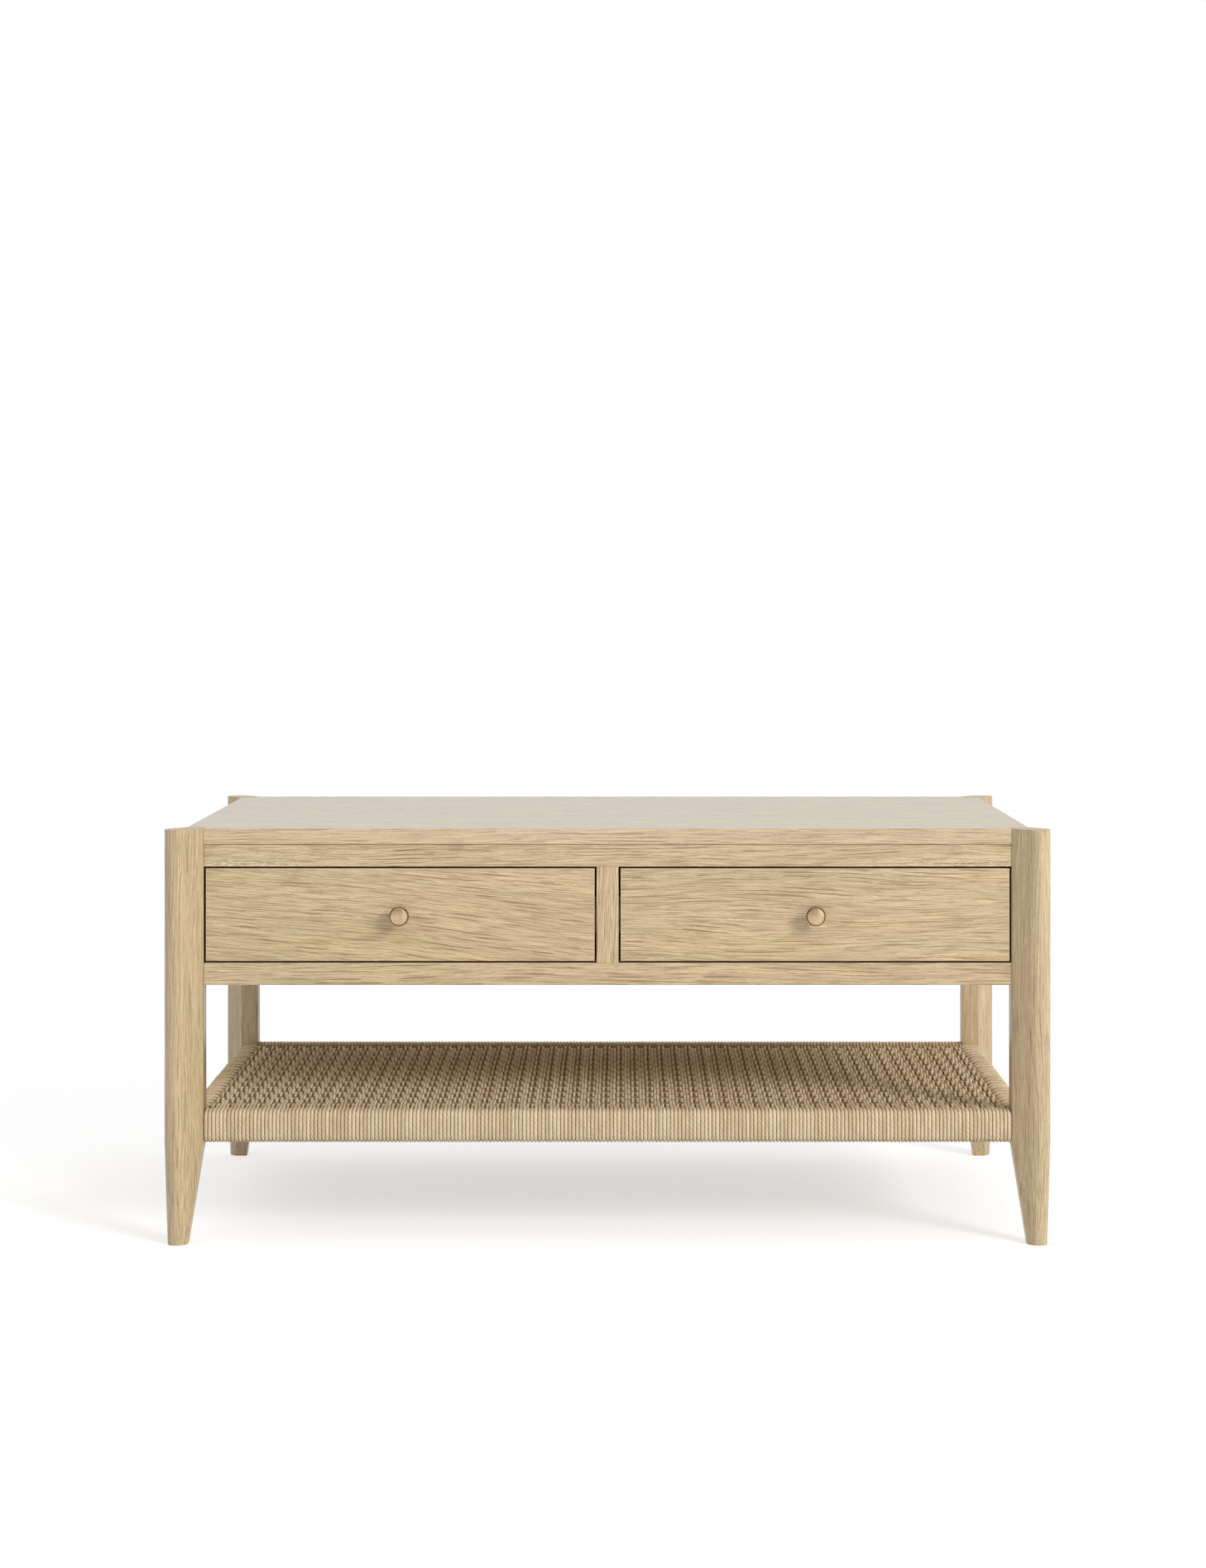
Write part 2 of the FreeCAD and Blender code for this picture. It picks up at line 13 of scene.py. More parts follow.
import bmesh
import bpy
import numpy
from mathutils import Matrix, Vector


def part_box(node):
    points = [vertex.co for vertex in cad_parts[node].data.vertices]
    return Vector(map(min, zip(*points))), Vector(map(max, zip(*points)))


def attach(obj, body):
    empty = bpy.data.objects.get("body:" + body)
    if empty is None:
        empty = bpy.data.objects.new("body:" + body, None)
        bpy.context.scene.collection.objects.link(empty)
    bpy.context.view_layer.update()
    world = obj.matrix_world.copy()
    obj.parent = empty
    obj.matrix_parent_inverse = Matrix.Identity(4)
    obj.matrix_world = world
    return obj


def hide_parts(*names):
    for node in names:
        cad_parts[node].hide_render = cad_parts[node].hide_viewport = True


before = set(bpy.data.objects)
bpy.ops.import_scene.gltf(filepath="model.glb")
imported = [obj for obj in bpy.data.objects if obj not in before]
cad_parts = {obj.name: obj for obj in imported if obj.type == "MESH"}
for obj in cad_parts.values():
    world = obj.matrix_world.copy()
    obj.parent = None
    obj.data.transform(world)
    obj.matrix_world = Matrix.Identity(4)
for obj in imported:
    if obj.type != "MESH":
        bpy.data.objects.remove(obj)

log = logging.getLogger("coffee_table")

MM = 0.001
IMAGE_WIDTH, IMAGE_HEIGHT = 1680, 2184

Node = bpy.types.Node
Socket = bpy.types.NodeSocket
Group = bpy.types.NodeTree
Material = bpy.types.Material
Point = tuple[float, float]
Triple = tuple[float, float, float]
Colour = tuple[float, float, float, float]
Value = Any  # An output socket to link, or a plain number, vector or colour.

WHITE: Colour = (1.0, 1.0, 1.0, 1.0)
ACROSS, UPWARD = (1.0, 0.0, 0.0), (0.0, 0.0, 1.0)
LOOK = {"Color": "Colour", "Float": "Roughness Height"}
HANDS = ("left", "right")
# The second name is the mesh attribute that carries painted shade on the cords and the knobs.
RUN_MAP, NOOK = "run", "nook"


def srgb(red: int, green: int, blue: int) -> Colour:
    """Turn a screen colour into the linear one that shaders work in.

    Args:
        red: Red from 0 to 255.
        green: Green from 0 to 255.
        blue: Blue from 0 to 255.

    Returns:
        The linear colour with full alpha.
    """
    def linear(level: int) -> float:
        """Give one channel's linear value."""
        part = level / 255
        return part / 12.92 if part <= 0.04045 else ((part + 0.055) / 1.055) ** 2.4

    return (linear(red), linear(green), linear(blue), 1.0)


def smooth(value: float, low: float, high: float) -> float:
    """Rise gently from 0 to 1 as a value goes from low to high.

    Args:
        value: The value to place.
        low: Where the rise starts.
        high: Where the rise ends.

    Returns:
        A number from 0 to 1.
    """
    part = min(max((value - low) / (high - low), 0.0), 1.0)
    return part * part * (3 - 2 * part)


def arc(centre: Point, radii: Point, degrees: Iterable[float]) -> list[Point]:
    """Give an ellipse's points at some angles. A negative radius turns it over."""
    turns = [math.radians(angle) for angle in degrees]
    return [(centre[0] + radii[0] * math.cos(turn), centre[1] + radii[1] * math.sin(turn)) for turn in turns]


class Grain(Enum):
    """The way the grain runs in a board, as the turn that lays it along the pattern's X."""

    ALONG_X = (0.0, 0.0, 0.0)
    ALONG_Y = (0.0, 0.0, -math.pi / 2)
    ALONG_Z = (0.0, math.pi / 2, 0.0)


@dataclass
class Wiring:
    """Adds nodes to one tree and joins them."""

    tree: Group

    def add(self, kind: str, **settings: Any) -> Node:
        """Add a node.

        Args:
            kind: The node's type name.
            **settings: Properties to set on it.

        Returns:
            The new node.
        """
        node = self.tree.nodes.new(kind)
        for name, value in settings.items():
            setattr(node, name, value)
        return node

    def feed(self, socket: Socket, value: Value) -> None:
        """Link an output to a socket, or set a plain value on it.

        Args:
            socket: The input to feed.
            value: An output socket, a number, a vector or a colour.
        """
        if isinstance(value, Socket):
            self.tree.links.new(value, socket)
        else:
            socket.default_value = value

    def fill(self, node: Node, **values: Value) -> Node:
        """Feed some of a node's inputs.

        Args:
            node: The node.
            **values: What the inputs get, by name, with a low line for each space.

        Returns:
            The same node.
        """
        for name, value in values.items():
            self.feed(node.inputs[name.replace("_", " ")], value)
        return node

    def chain(self, kind: str, *values: Value, **settings: Any) -> Socket:
        """Add a node and feed its inputs in order.

        Args:
            kind: The node's type name.
            *values: What the inputs get.
            **settings: Properties to set on the node.

        Returns:
            The node's first output.
        """
        node = self.add(kind, **settings)
        for socket, value in zip(node.inputs, values):
            self.feed(socket, value)
        return node.outputs[0]

    def math(self, operation: str, *values: Value, clamp: bool = False) -> Socket:
        """Work out a number from others, and hold it between 0 and 1 if clamp is set."""
        return self.chain("ShaderNodeMath", *values, operation=operation, use_clamp=clamp)

    def times(self, first: Value, second: Value, clamp: bool = False) -> Socket:
        """Multiply two numbers."""
        return self.math("MULTIPLY", first, second, clamp=clamp)

    def scale_add(self, value: Value, factor: Value, start: Value) -> Socket:
        """Multiply a number by a factor and add a start."""
        return self.math("MULTIPLY_ADD", value, factor, start)

    def centred(self, value: Value) -> Socket:
        """Move a number from around a half to around 0."""
        return self.math("SUBTRACT", value, 0.5)

    def vector(self, operation: str, *values: Value) -> Socket:
        """Work out a vector from others."""
        return self.chain("ShaderNodeVectorMath", *values, operation=operation)

    def dot(self, first: Value, second: Value) -> Socket:
        """Give the dot product of two vectors."""
        return self.vector("DOT_PRODUCT", first, second).node.outputs["Value"]

    def split(self, vector: Socket) -> tuple[Socket, ...]:
        """Split a vector into its three numbers."""
        return tuple(self.chain("ShaderNodeSeparateXYZ", vector).node.outputs)

    def join(self, x: Value, y: Value, z: Value) -> Socket:
        """Join three numbers into a vector."""
        return self.chain("ShaderNodeCombineXYZ", x, y, z)

    def noise(self, at: Socket, stretch: Triple, detail: float = 1.0) -> Socket:
        """Sample a noise with its own frequency along each axis.

        Args:
            at: The place to sample.
            stretch: Waves per metre along x, y and z.
            detail: How many finer layers are added.

        Returns:
            A number around 0.5.
        """
        place = self.vector("MULTIPLY", at, stretch)
        node = self.add("ShaderNodeTexNoise")
        return self.fill(node, Vector=place, Scale=1.0, Detail=detail, Roughness=0.55).outputs[0]

    def remap(self, value: Socket, low: Value, high: Value, to_low: Value = 0.0, to_high: Value = 1.0) -> Socket:
        """Move the range from low to high smoothly to another, and hold what lies outside."""
        return self.chain("ShaderNodeMapRange", value, low, high, to_low, to_high, interpolation_type="SMOOTHSTEP")

    def mix(self, amount: Value, first: Value, second: Value, blend: str = "MIX") -> Socket:
        """Mix two colours.

        Args:
            amount: How much of the second, from 0 to 1.
            first: The first colour.
            second: The second colour.
            blend: The way they are mixed.

        Returns:
            The mixed colour.
        """
        node = self.add("ShaderNodeMix", data_type="RGBA", blend_type=blend)
        for index, value in ((0, amount), (6, first), (7, second)):
            self.feed(node.inputs[index], value)
        return node.outputs[2]

    def shade(self, colour: Value, strength: Socket) -> Socket:
        """Multiply a colour by a number."""
        return self.mix(1.0, colour, self.join(strength, strength, strength), "MULTIPLY")

    def use(self, group: Group, **values: Value) -> Node:
        """Place a node group and feed its inputs by name."""
        return self.fill(self.add("ShaderNodeGroup", node_tree=group), **values)

    def choose(self, amount: Value, first: Socket, second: Socket) -> Socket:
        """Mix two shaders."""
        return self.chain("ShaderNodeMixShader", amount, first, second)

    def nook(self) -> Socket:
        """Read the painted shade that a piece's mesh marks at a place."""
        return self.add("ShaderNodeAttribute", attribute_name=NOOK).outputs["Fac"]


def new_group(name: str, inputs: dict[str, str], outputs: dict[str, str]) -> tuple[Wiring, Any, Node]:
    """Start a shader node group with named sockets.

    Args:
        name: The group's name.
        inputs: The inputs' names with spaces between them, by type.
        outputs: The outputs' names in the same way.

    Returns:
        The wiring of its tree, its inputs by name, and its output node.
    """
    tree = bpy.data.node_groups.new(name, "ShaderNodeTree")
    for way, sockets in (("INPUT", inputs), ("OUTPUT", outputs)):
        for kind, labels in sockets.items():
            for label in labels.split():
                tree.interface.new_socket(name=label, in_out=way, socket_type="NodeSocket" + kind)
    wiring = Wiring(tree)
    return wiring, wiring.add("NodeGroupInput").outputs, wiring.add("NodeGroupOutput")


@dataclass(frozen=True)
class Specks:
    """Specks or streaks of a noise, by its waves per metre and the levels between which they rise."""

    stretch: Triple
    low: float
    high: float
    detail: float = 1.0
    shift: Triple | None = None

    def mask(self, w: Wiring, place: Socket) -> Socket:
        """Give 1 on the specks and 0 between them, at a place."""
        at = w.vector("ADD", place, self.shift) if self.shift else place
        return w.remap(w.noise(at, self.stretch, self.detail), self.low, self.high)


DASHES = Specks((16, 640, 820), 0.55, 0.6)
STREWN = Specks((32, 950, 1150), 0.56, 0.63)
PORES = Specks((150, 1500, 1900), 0.58, 0.72, detail=0.0)
PALE_STREAKS = Specks((16, 640, 760), 0.54, 0.66, shift=(7.7, 2.9, 5.3))
WARM_PATCHES = Specks((2.2, 10, 14), 0.45, 0.62)
COOL_PATCHES = Specks((2.8, 12, 17), 0.48, 0.65, shift=(3.1, 1.7, 0.9))
RAY_FLECKS = Specks((130, 600, 900), 0.54, 0.62)
DULL_CLOUD = Specks((90, 90, 90), 0.35, 0.7, detail=2.0)


def oak_figure() -> Group:
    """Build the figure of oak: broken dark lines, pores, fibres and slow changes of hue.

    Returns:
        The node group.
    """
    inputs = {
        "Vector": "Place", "Color": "Light Warm Cool Dark",
        "Float": "Spacing Slope Wave Shorten Lines Pores Flecks",
    }
    w, given, result = new_group("oak_figure", inputs, LOOK)
    place = given["Place"]
    x, y, z = w.split(place)
    bend = w.times(w.centred(w.noise(place, (3.4, 14, 14), 1.5)), given["Wave"])
    kink = w.times(w.centred(w.noise(place, (60, 150, 150))), 0.9 * MM)
    sloped = w.scale_add(x, given["Slope"], w.scale_add(y, 0.35, z))
    level = w.math("ADD", sloped, w.math("ADD", bend, kink))
    along = w.join(w.times(x, given["Shorten"]), y, level)
    ring = w.math("PINGPONG", w.math("DIVIDE", level, given["Spacing"]), 0.5)
    dashes = w.times(w.remap(ring, 0.02, 0.3, 1.0, 0.4), DASHES.mask(w, along))
    lines = w.math("MAXIMUM", dashes, w.times(STREWN.mask(w, along), 0.6))
    pores = PORES.mask(w, along)
    fibres = w.noise(along, (20, 1200, 1200), 2.0)
    bands = w.remap(w.noise(along, (4, 100, 95)), 0.33, 0.67, -0.5, 0.5)
    colour = w.mix(w.times(WARM_PATCHES.mask(w, along), 0.6), given["Light"], given["Warm"])
    colour = w.mix(w.times(COOL_PATCHES.mask(w, along), 0.5), colour, given["Cool"])
    strength = w.scale_add(bands, 0.10, w.scale_add(w.centred(fibres), 0.7, 1.0))
    colour = w.shade(colour, w.scale_add(PALE_STREAKS.mask(w, along), 0.11, strength))
    colour = w.mix(w.times(lines, given["Lines"], clamp=True), colour, given["Dark"])
    colour = w.mix(w.times(pores, given["Pores"]), colour, given["Dark"])
    fleck = w.times(RAY_FLECKS.mask(w, place), w.times(given["Flecks"], 0.7), clamp=True)
    sunk = w.math("MAXIMUM", lines, w.times(pores, 0.7))
    w.fill(
        result, Colour=w.mix(fleck, colour, srgb(248, 238, 216)), Roughness=w.scale_add(fibres, 0.16, 0.38),
        Height=w.scale_add(sunk, -1.0, w.times(fibres, 0.5)),
    )
    return w.tree


def plane_mask() -> Group:
    """Build a mask that is 1 on a plane, or on its mirror image, and fades to 0 beside it.

    Returns:
        The node group.
    """
    w, given, result = new_group("plane_mask", {"Vector": "Place Axis", "Float": "At Reach"}, {"Float": "Mask"})
    along = w.math("ABSOLUTE", w.dot(given["Place"], given["Axis"]))
    away = w.math("ABSOLUTE", w.math("SUBTRACT", along, given["At"]))
    w.fill(result, Mask=w.remap(away, 0.0, given["Reach"], 1.0, 0.0))
    return w.tree


def laid_cord_figure() -> Group:
    """Build the look of a laid cord of three strands, from its run in metres and its turn from 0 to 1, with painted
    shade in its strand grooves and where its mesh marks shade.

    Returns:
        The node group.
    """
    inputs = {"Vector": "Run", "Float": "Lay Nook", "Color": "Light Dark Groove"}
    w, given, result = new_group("laid_cord_figure", inputs, LOOK)
    run, turn, _ = w.split(given["Run"])
    strand = w.times(w.math("ADD", w.math("DIVIDE", run, given["Lay"]), turn), 3.0)
    edge = w.scale_add(w.math("PINGPONG", strand, 0.5), -2.0, 1.0)
    hump = w.math("SQRT", w.math("SUBTRACT", 1.0, w.times(edge, edge), clamp=True))
    tone = w.noise(w.join(run, 0.5, 0.5), (1.9, 1.0, 1.0))
    patch = w.noise(w.join(run, turn, 0.5), (60, 2.0, 1.0), 2.0)
    hairs = w.noise(w.join(run, strand, 0.5), (420, 5.0, 1.0), 2.0)
    lightness = w.math("ADD", w.times(tone, 0.55), w.times(patch, 0.45))
    colour = w.mix(w.remap(lightness, 0.36, 0.64), given["Dark"], given["Light"])
    colour = w.shade(colour, w.scale_add(w.centred(hairs), 0.5, 1.0))
    # Painted shade in the grooves between strands.
    colour = w.mix(w.times(w.remap(edge, 0.55, 0.98), 0.22), colour, given["Groove"])
    # Painted shade where the mesh marks it: between, under and behind the cords.
    colour = w.mix(w.remap(given["Nook"], 0.1, 1.0, 0.0, 0.66), colour, given["Groove"])
    w.fill(result, Colour=colour, Roughness=w.scale_add(hairs, 0.2, 0.72), Height=w.scale_add(hairs, 0.15, hump))
    return w.tree


def fine_wear() -> Group:
    """Build the fine marks of worked metal: a soft cloud and small scratches along one way.

    Returns:
        The node group.
    """
    inputs = {"Vector": "Place", "Color": "Base Dull", "Float": "Rough"}
    w, given, result = new_group("fine_wear", inputs, LOOK)
    scratches = w.noise(given["Place"], (400, 400, 4200), 2.0)
    colour = w.mix(DULL_CLOUD.mask(w, given["Place"]), given["Base"], given["Dull"])
    w.fill(result, Colour=colour, Roughness=w.scale_add(scratches, 0.18, given["Rough"]), Height=scratches)
    return w.tree


@dataclass
class Effects:
    """The node groups that more than one material uses, each built once."""

    oak: Group = field(default_factory=oak_figure)
    plane: Group = field(default_factory=plane_mask)
    cord: Group = field(default_factory=laid_cord_figure)
    metal: Group = field(default_factory=fine_wear)


@dataclass(frozen=True)
class Seam:
    """A tinted line along a plane of the table and its mirror image, such as a dark line where two boards meet, a
    painted highlight on the drawer fronts' edges or painted shade on a leg's inner flank.
    """

    axis: Triple
    at: float
    reach: float = 1.5 * MM
    tint: Colour = srgb(120, 92, 56)
    amount: float = 0.55

    def mask(self, w: Wiring, place: Socket, effects: Effects) -> Socket:
        """Tell from 0 to 1 how near a place on the table is to the line."""
        return w.use(effects.plane, Place=place, Axis=self.axis, At=self.at, Reach=self.reach).outputs["Mask"]


class Finish:
    """A material whose colour, roughness and fine relief come from a node group."""

    name: str
    bump: float
    relief: float

    def _look(self, w: Wiring, effects: Effects) -> tuple[Node, Socket, dict[str, float]]:
        """Place the finish's own nodes.

        Args:
            w: The material's wiring.
            effects: The shared node groups.

        Returns:
            The group that tells roughness and height, the colour, and the shader's constants by input.
        """
        raise NotImplementedError

    def material(self, effects: Effects) -> Material:
        """Build the material.

        Args:
            effects: The shared node groups.

        Returns:
            The material.
        """
        made = bpy.data.materials.new(self.name)
        made.use_nodes = True
        w = Wiring(made.node_tree)
        figure, colour, constants = self._look(w, effects)
        bump = w.fill(
            w.add("ShaderNodeBump"), Strength=self.bump, Distance=self.relief, Height=figure.outputs["Height"],
        )
        w.fill(
            made.node_tree.nodes["Principled BSDF"], Base_Color=colour, Roughness=figure.outputs["Roughness"],
            Normal=bump.outputs[0], **constants,
        )
        return made


@dataclass(frozen=True)
class WoodFinish(Finish):
    """A wood, from its colours and the strength and spacing of its grain.

    Flecks appear where all of the fleck planes' masks are above 0.
    """

    name: str
    grain: Grain
    light: Colour = srgb(214, 191, 155)
    warm: Colour = srgb(219, 189, 152)
    cool: Colour = srgb(209, 190, 145)
    dark: Colour = srgb(140, 112, 74)
    spacing: float = 4.2 * MM
    slope: float = 0.0
    wave: float = 22 * MM
    shorten: float = 1.0
    lines: float = 0.85
    pores: float = 0.25
    flecks: tuple[Seam, ...] = ()
    seams: tuple[Seam, ...] = ()
    sheen: float = 0.0
    sheen_roughness: float = 0.25
    log_place: Triple = (0.0, 0.0, 0.0)
    bump: float = 0.25
    relief: float = 0.3 * MM

    def _look(self, w: Wiring, effects: Effects) -> tuple[Node, Socket, dict[str, float]]:
        """Lay the board in its log and tint its seams; some seams are painted highlights or painted shade.

        Args:
            w: The material's wiring.
            effects: The shared node groups.

        Returns:
            The oak figure, the colour and the varnish.
        """
        on_table = w.add("ShaderNodeTexCoord").outputs["Object"]
        place = w.add("ShaderNodeMapping")
        w.fill(place, Vector=on_table, Location=self.log_place, Rotation=self.grain.value)
        flecks = float(bool(self.flecks))
        for zone in self.flecks:
            flecks = w.times(flecks, zone.mask(w, on_table, effects))
        figure = w.use(
            effects.oak, Place=place.outputs[0], Light=self.light, Warm=self.warm, Cool=self.cool,
            Dark=self.dark, Spacing=self.spacing, Slope=self.slope, Wave=self.wave, Shorten=self.shorten,
            Lines=self.lines, Pores=self.pores, Flecks=flecks,
        )
        colour = figure.outputs["Colour"]
        for seam in self.seams:
            colour = w.mix(w.times(seam.mask(w, on_table, effects), seam.amount), colour, seam.tint)
        return figure, colour, {"Coat_Weight": self.sheen, "Coat_Roughness": self.sheen_roughness}


@dataclass(frozen=True)
class CordFinish(Finish):
    """A laid cord, from its colours and the length in which a strand goes once round."""

    name: str = "laid_cord"
    light: Colour = srgb(237, 218, 185)
    dark: Colour = srgb(215, 192, 156)
    # The painted shade colour for strand grooves and for shaded places between cords.
    groove: Colour = srgb(108, 80, 45)
    lay: float = 17 * MM
    gloss: float = 0.3
    bump: float = 0.3
    relief: float = 0.6 * MM

    def _look(self, w: Wiring, effects: Effects) -> tuple[Node, Socket, dict[str, float]]:
        """Lay the strands along the cord's run.

        Args:
            w: The material's wiring.
            effects: The shared node groups.

        Returns:
            The cord figure, its colour and the gloss.
        """
        run = w.add("ShaderNodeUVMap", uv_map=RUN_MAP).outputs[0]
        figure = w.use(
            effects.cord, Run=run, Lay=self.lay, Light=self.light, Dark=self.dark, Groove=self.groove,
            Nook=w.nook(),
        )
        return figure, figure.outputs["Colour"], {"Specular_IOR_Level": self.gloss}


@dataclass(frozen=True)
class MetalFinish(Finish):
    """A worked metal, from its colours and how rough it is. Places that its mesh marks take a painted dark reflection.
    """

    name: str
    base: Colour
    dull: Colour
    roughness: float
    # The colour and strength of the painted dark reflection on marked places.
    tarnish: Colour = srgb(112, 84, 48)
    tarnish_amount: float = 0.8
    bump: float = 0.1
    relief: float = 0.1 * MM

    def _look(self, w: Wiring, effects: Effects) -> tuple[Node, Socket, dict[str, float]]:
        """Wear the metal and give its marked places a painted dark reflection.

        Args:
            w: The material's wiring.
            effects: The shared node groups.

        Returns:
            The marks, the colour and the shader's metal setting.
        """
        place = w.add("ShaderNodeTexCoord").outputs["Object"]
        marks = w.use(effects.metal, Place=place, Base=self.base, Dull=self.dull, Rough=self.roughness)
        # Painted dark reflection where the mesh marks it.
        colour = w.mix(w.times(w.nook(), self.tarnish_amount), marks.outputs["Colour"], self.tarnish)
        return marks, colour, {"Metallic": 1.0}


def blank(owner: Material | bpy.types.World) -> Wiring:
    """Start the node tree of a material or a world, with nothing in it.

    Args:
        owner: The material or world.

    Returns:
        The tree's wiring.
    """
    owner.use_nodes = True
    owner.node_tree.nodes.clear()
    return Wiring(owner.node_tree)


def put(name: str, data: bpy.types.ID) -> bpy.types.Object:
    """Add an object to the scene.

    Args:
        name: Its name.
        data: Its mesh, curve, lamp or camera.

    Returns:
        The new object.
    """
    made = bpy.data.objects.new(name, data)
    bpy.context.scene.collection.objects.link(made)
    return made


def mark_nooks(mesh: bpy.types.Mesh, depths: Iterable[float]) -> None:
    """Write to each corner how much painted shade it takes, from 0 to 1."""
    mesh.attributes.new(NOOK, "FLOAT", "POINT").data.foreach_set("value", depths)


def dress(node: str, material: Material) -> None:
    """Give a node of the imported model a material.

    Args:
        node: The node's name.
        material: The material that all of it takes.
    """
    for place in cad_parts[node].material_slots:
        place.material = material
    log.info("%s: finished as %s", node, material.name)


def show(name: str, mesh: bpy.types.Mesh, material: Material, body: str) -> bpy.types.Object:
    """Put a finished mesh in the scene as a piece that rides on a body.

    Args:
        name: The piece's name.
        mesh: Its mesh, in place.
        material: Its material.
        body: The body that it moves with.

    Returns:
        The new object.
    """
    mesh.materials.clear()
    mesh.materials.append(material)
    piece = put(name, mesh)
    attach(piece, body)
    log.info("%s: %d faces on %s", name, len(mesh.polygons), body)
    return piece


@dataclass
class CordBundle:
    """Cords that lie side by side and make one piece.

    The field is the part of the shelf where cords cross: its middle height and its half sizes.
    The shade, from 0 to 1, is the least painted shade that every place of these cords takes, their open side too.
    """

    name: str
    thickness: float
    beside: int
    field_middle: float
    field_half: Point
    shade: float = 0.0
    runs: list[list[Vector]] = field(default_factory=list)
    girths: list[list[float]] = field(default_factory=list)

    SIDES = 8
    LONGEST_START = 400
    # How far the painted shade reaches and how dark it gets on flanks, undersides, dips, the field's back edge and the
    # back rail.
    NOOK_REACH = 4.5 * MM
    FLANK_START, FLANK_DEPTH = 0.72, 0.82
    UNDER_START, UNDER_DEPTH = 0.25, 0.5
    DIP_POWER, DIP_DEPTH = 1.5, 0.5
    LAST_ROW_DEPTH = 0.8
    BACK_RAIL_DEPTH, BACK_RAIL_REACH = 0.5, 3.5 * NOOK_REACH

    def add(self, run: list[Vector], girths: list[float]) -> None:
        """Add one cord that follows the given points, with its share of the thickness at each."""
        self.runs.append(run)
        self.girths.append(girths)

    def _sweep(self) -> bpy.types.Mesh:
        """Sweep a round section along every cord.

        Returns:
            A mesh of open tubes, eight sides each.
        """
        line = bpy.data.curves.new(self.name, "CURVE")
        line.dimensions = "3D"
        line.bevel_depth = self.thickness / 2
        line.bevel_resolution = self.SIDES // 4
        for run, girths in zip(self.runs, self.girths):
            spline = line.splines.new("POLY")
            spline.points.add(len(run) - 1)
            spline.points.foreach_set("co", [value for point in run for value in (*point, 1.0)])
            spline.points.foreach_set("radius", girths)
        holder = put(self.name + "_line", line)
        drawn = holder.evaluated_get(bpy.context.evaluated_depsgraph_get())
        mesh = bpy.data.meshes.new_from_object(drawn)
        bpy.data.objects.remove(holder)
        bpy.data.curves.remove(line)
        return mesh

    def _measure(self, mesh: bpy.types.Mesh, chance: random.Random) -> None:
        """Write each cord's length in metres to its UV map, from its own start.

        Args:
            mesh: The open tubes.
            chance: Gives each cord its start, so that no two show the same stretch.
        """
        lengths: list[float] = []
        for run in self.runs:
            length = chance.uniform(0, self.LONGEST_START)
            lengths.append(length)
            for before, after in zip(run, run[1:]):
                length += (after - before).length
                lengths.append(length)
        layer = mesh.uv_layers[0]
        layer.name = RUN_MAP
        corners = numpy.empty(len(mesh.loops), dtype=numpy.int32)
        mesh.loops.foreach_get("vertex_index", corners)
        places = numpy.empty(len(mesh.loops) * 2, dtype=numpy.float32)
        layer.uv.foreach_get("vector", places)
        places[0::2] = numpy.array(lengths, dtype=numpy.float32)[corners // self.SIDES]
        layer.uv.foreach_set("vector", places)

    def _shade(self, mesh: bpy.types.Mesh) -> None:
        """Paint shade into each place of the cords, from 0 in the open to 1 where it is darkest: on flanks that face
        the next cord, on low undersides and towards the field's middle height.

        Wefts take full painted shade all over the field, a band along the field's back edge takes strong painted
        shade, and the upward faces on the back rail take some.

        Args:
            mesh: The open tubes.
        """
        count = len(mesh.vertices)
        facing, places = (numpy.empty(count * 3, dtype=numpy.float32) for _ in range(2))
        mesh.vertex_normals.foreach_get("vector", facing)
        mesh.vertices.foreach_get("co", places)
        x, y, z = (places[axis::3] for axis in range(3))
        sideways, up = numpy.abs(facing[self.beside::3]), facing[2::3]
        flank = numpy.clip((sideways - self.FLANK_START) / (1 - self.FLANK_START), 0, 1) * self.FLANK_DEPTH
        below = z < self.field_middle - 2 * self.thickness
        under = numpy.clip(-up - self.UNDER_START, 0, self.UNDER_DEPTH) * below
        turned = numpy.maximum(numpy.maximum(flank, self.shade), under)
        across = numpy.abs(x) < self.field_half[0]
        inside = across & (numpy.abs(y) < self.field_half[1])
        dip = 1 - numpy.clip(numpy.abs(z - self.field_middle) / self.NOOK_REACH, 0, 1)
        sunk = numpy.ones_like(dip) if self.beside else dip ** self.DIP_POWER * self.DIP_DEPTH
        past = y - self.field_half[1]
        behind = across * numpy.where(numpy.abs(past) < self.NOOK_REACH, self.LAST_ROW_DEPTH, 0.0)
        on_rail = across & (past > 0) & (past < self.BACK_RAIL_REACH) & (up > 0)
        deep = numpy.maximum(1 - (1 - turned) * (1 - sunk * inside), behind)
        mark_nooks(mesh, numpy.maximum(deep, on_rail * self.BACK_RAIL_DEPTH))

    def make(self, material: Material, body: str, slot: str, chance: random.Random) -> bpy.types.Object:
        """Build the piece.

        Args:
            material: The cord's material.
            body: The body that it rides on.
            slot: Not used.
            chance: The seeded source of each cord's start.

        Returns:
            The piece.
        """
        mesh = self._sweep()
        self._measure(mesh, chance)
        self._shade(mesh)
        shape = bmesh.new()
        shape.from_mesh(mesh)
        rims = [edge for edge in shape.edges if edge.is_boundary]
        bmesh.ops.holes_fill(shape, edges=rims, sides=self.SIDES)
        for face in shape.faces:
            face.smooth = True
        shape.to_mesh(mesh)
        shape.free()
        return show(self.name, mesh, material, body)


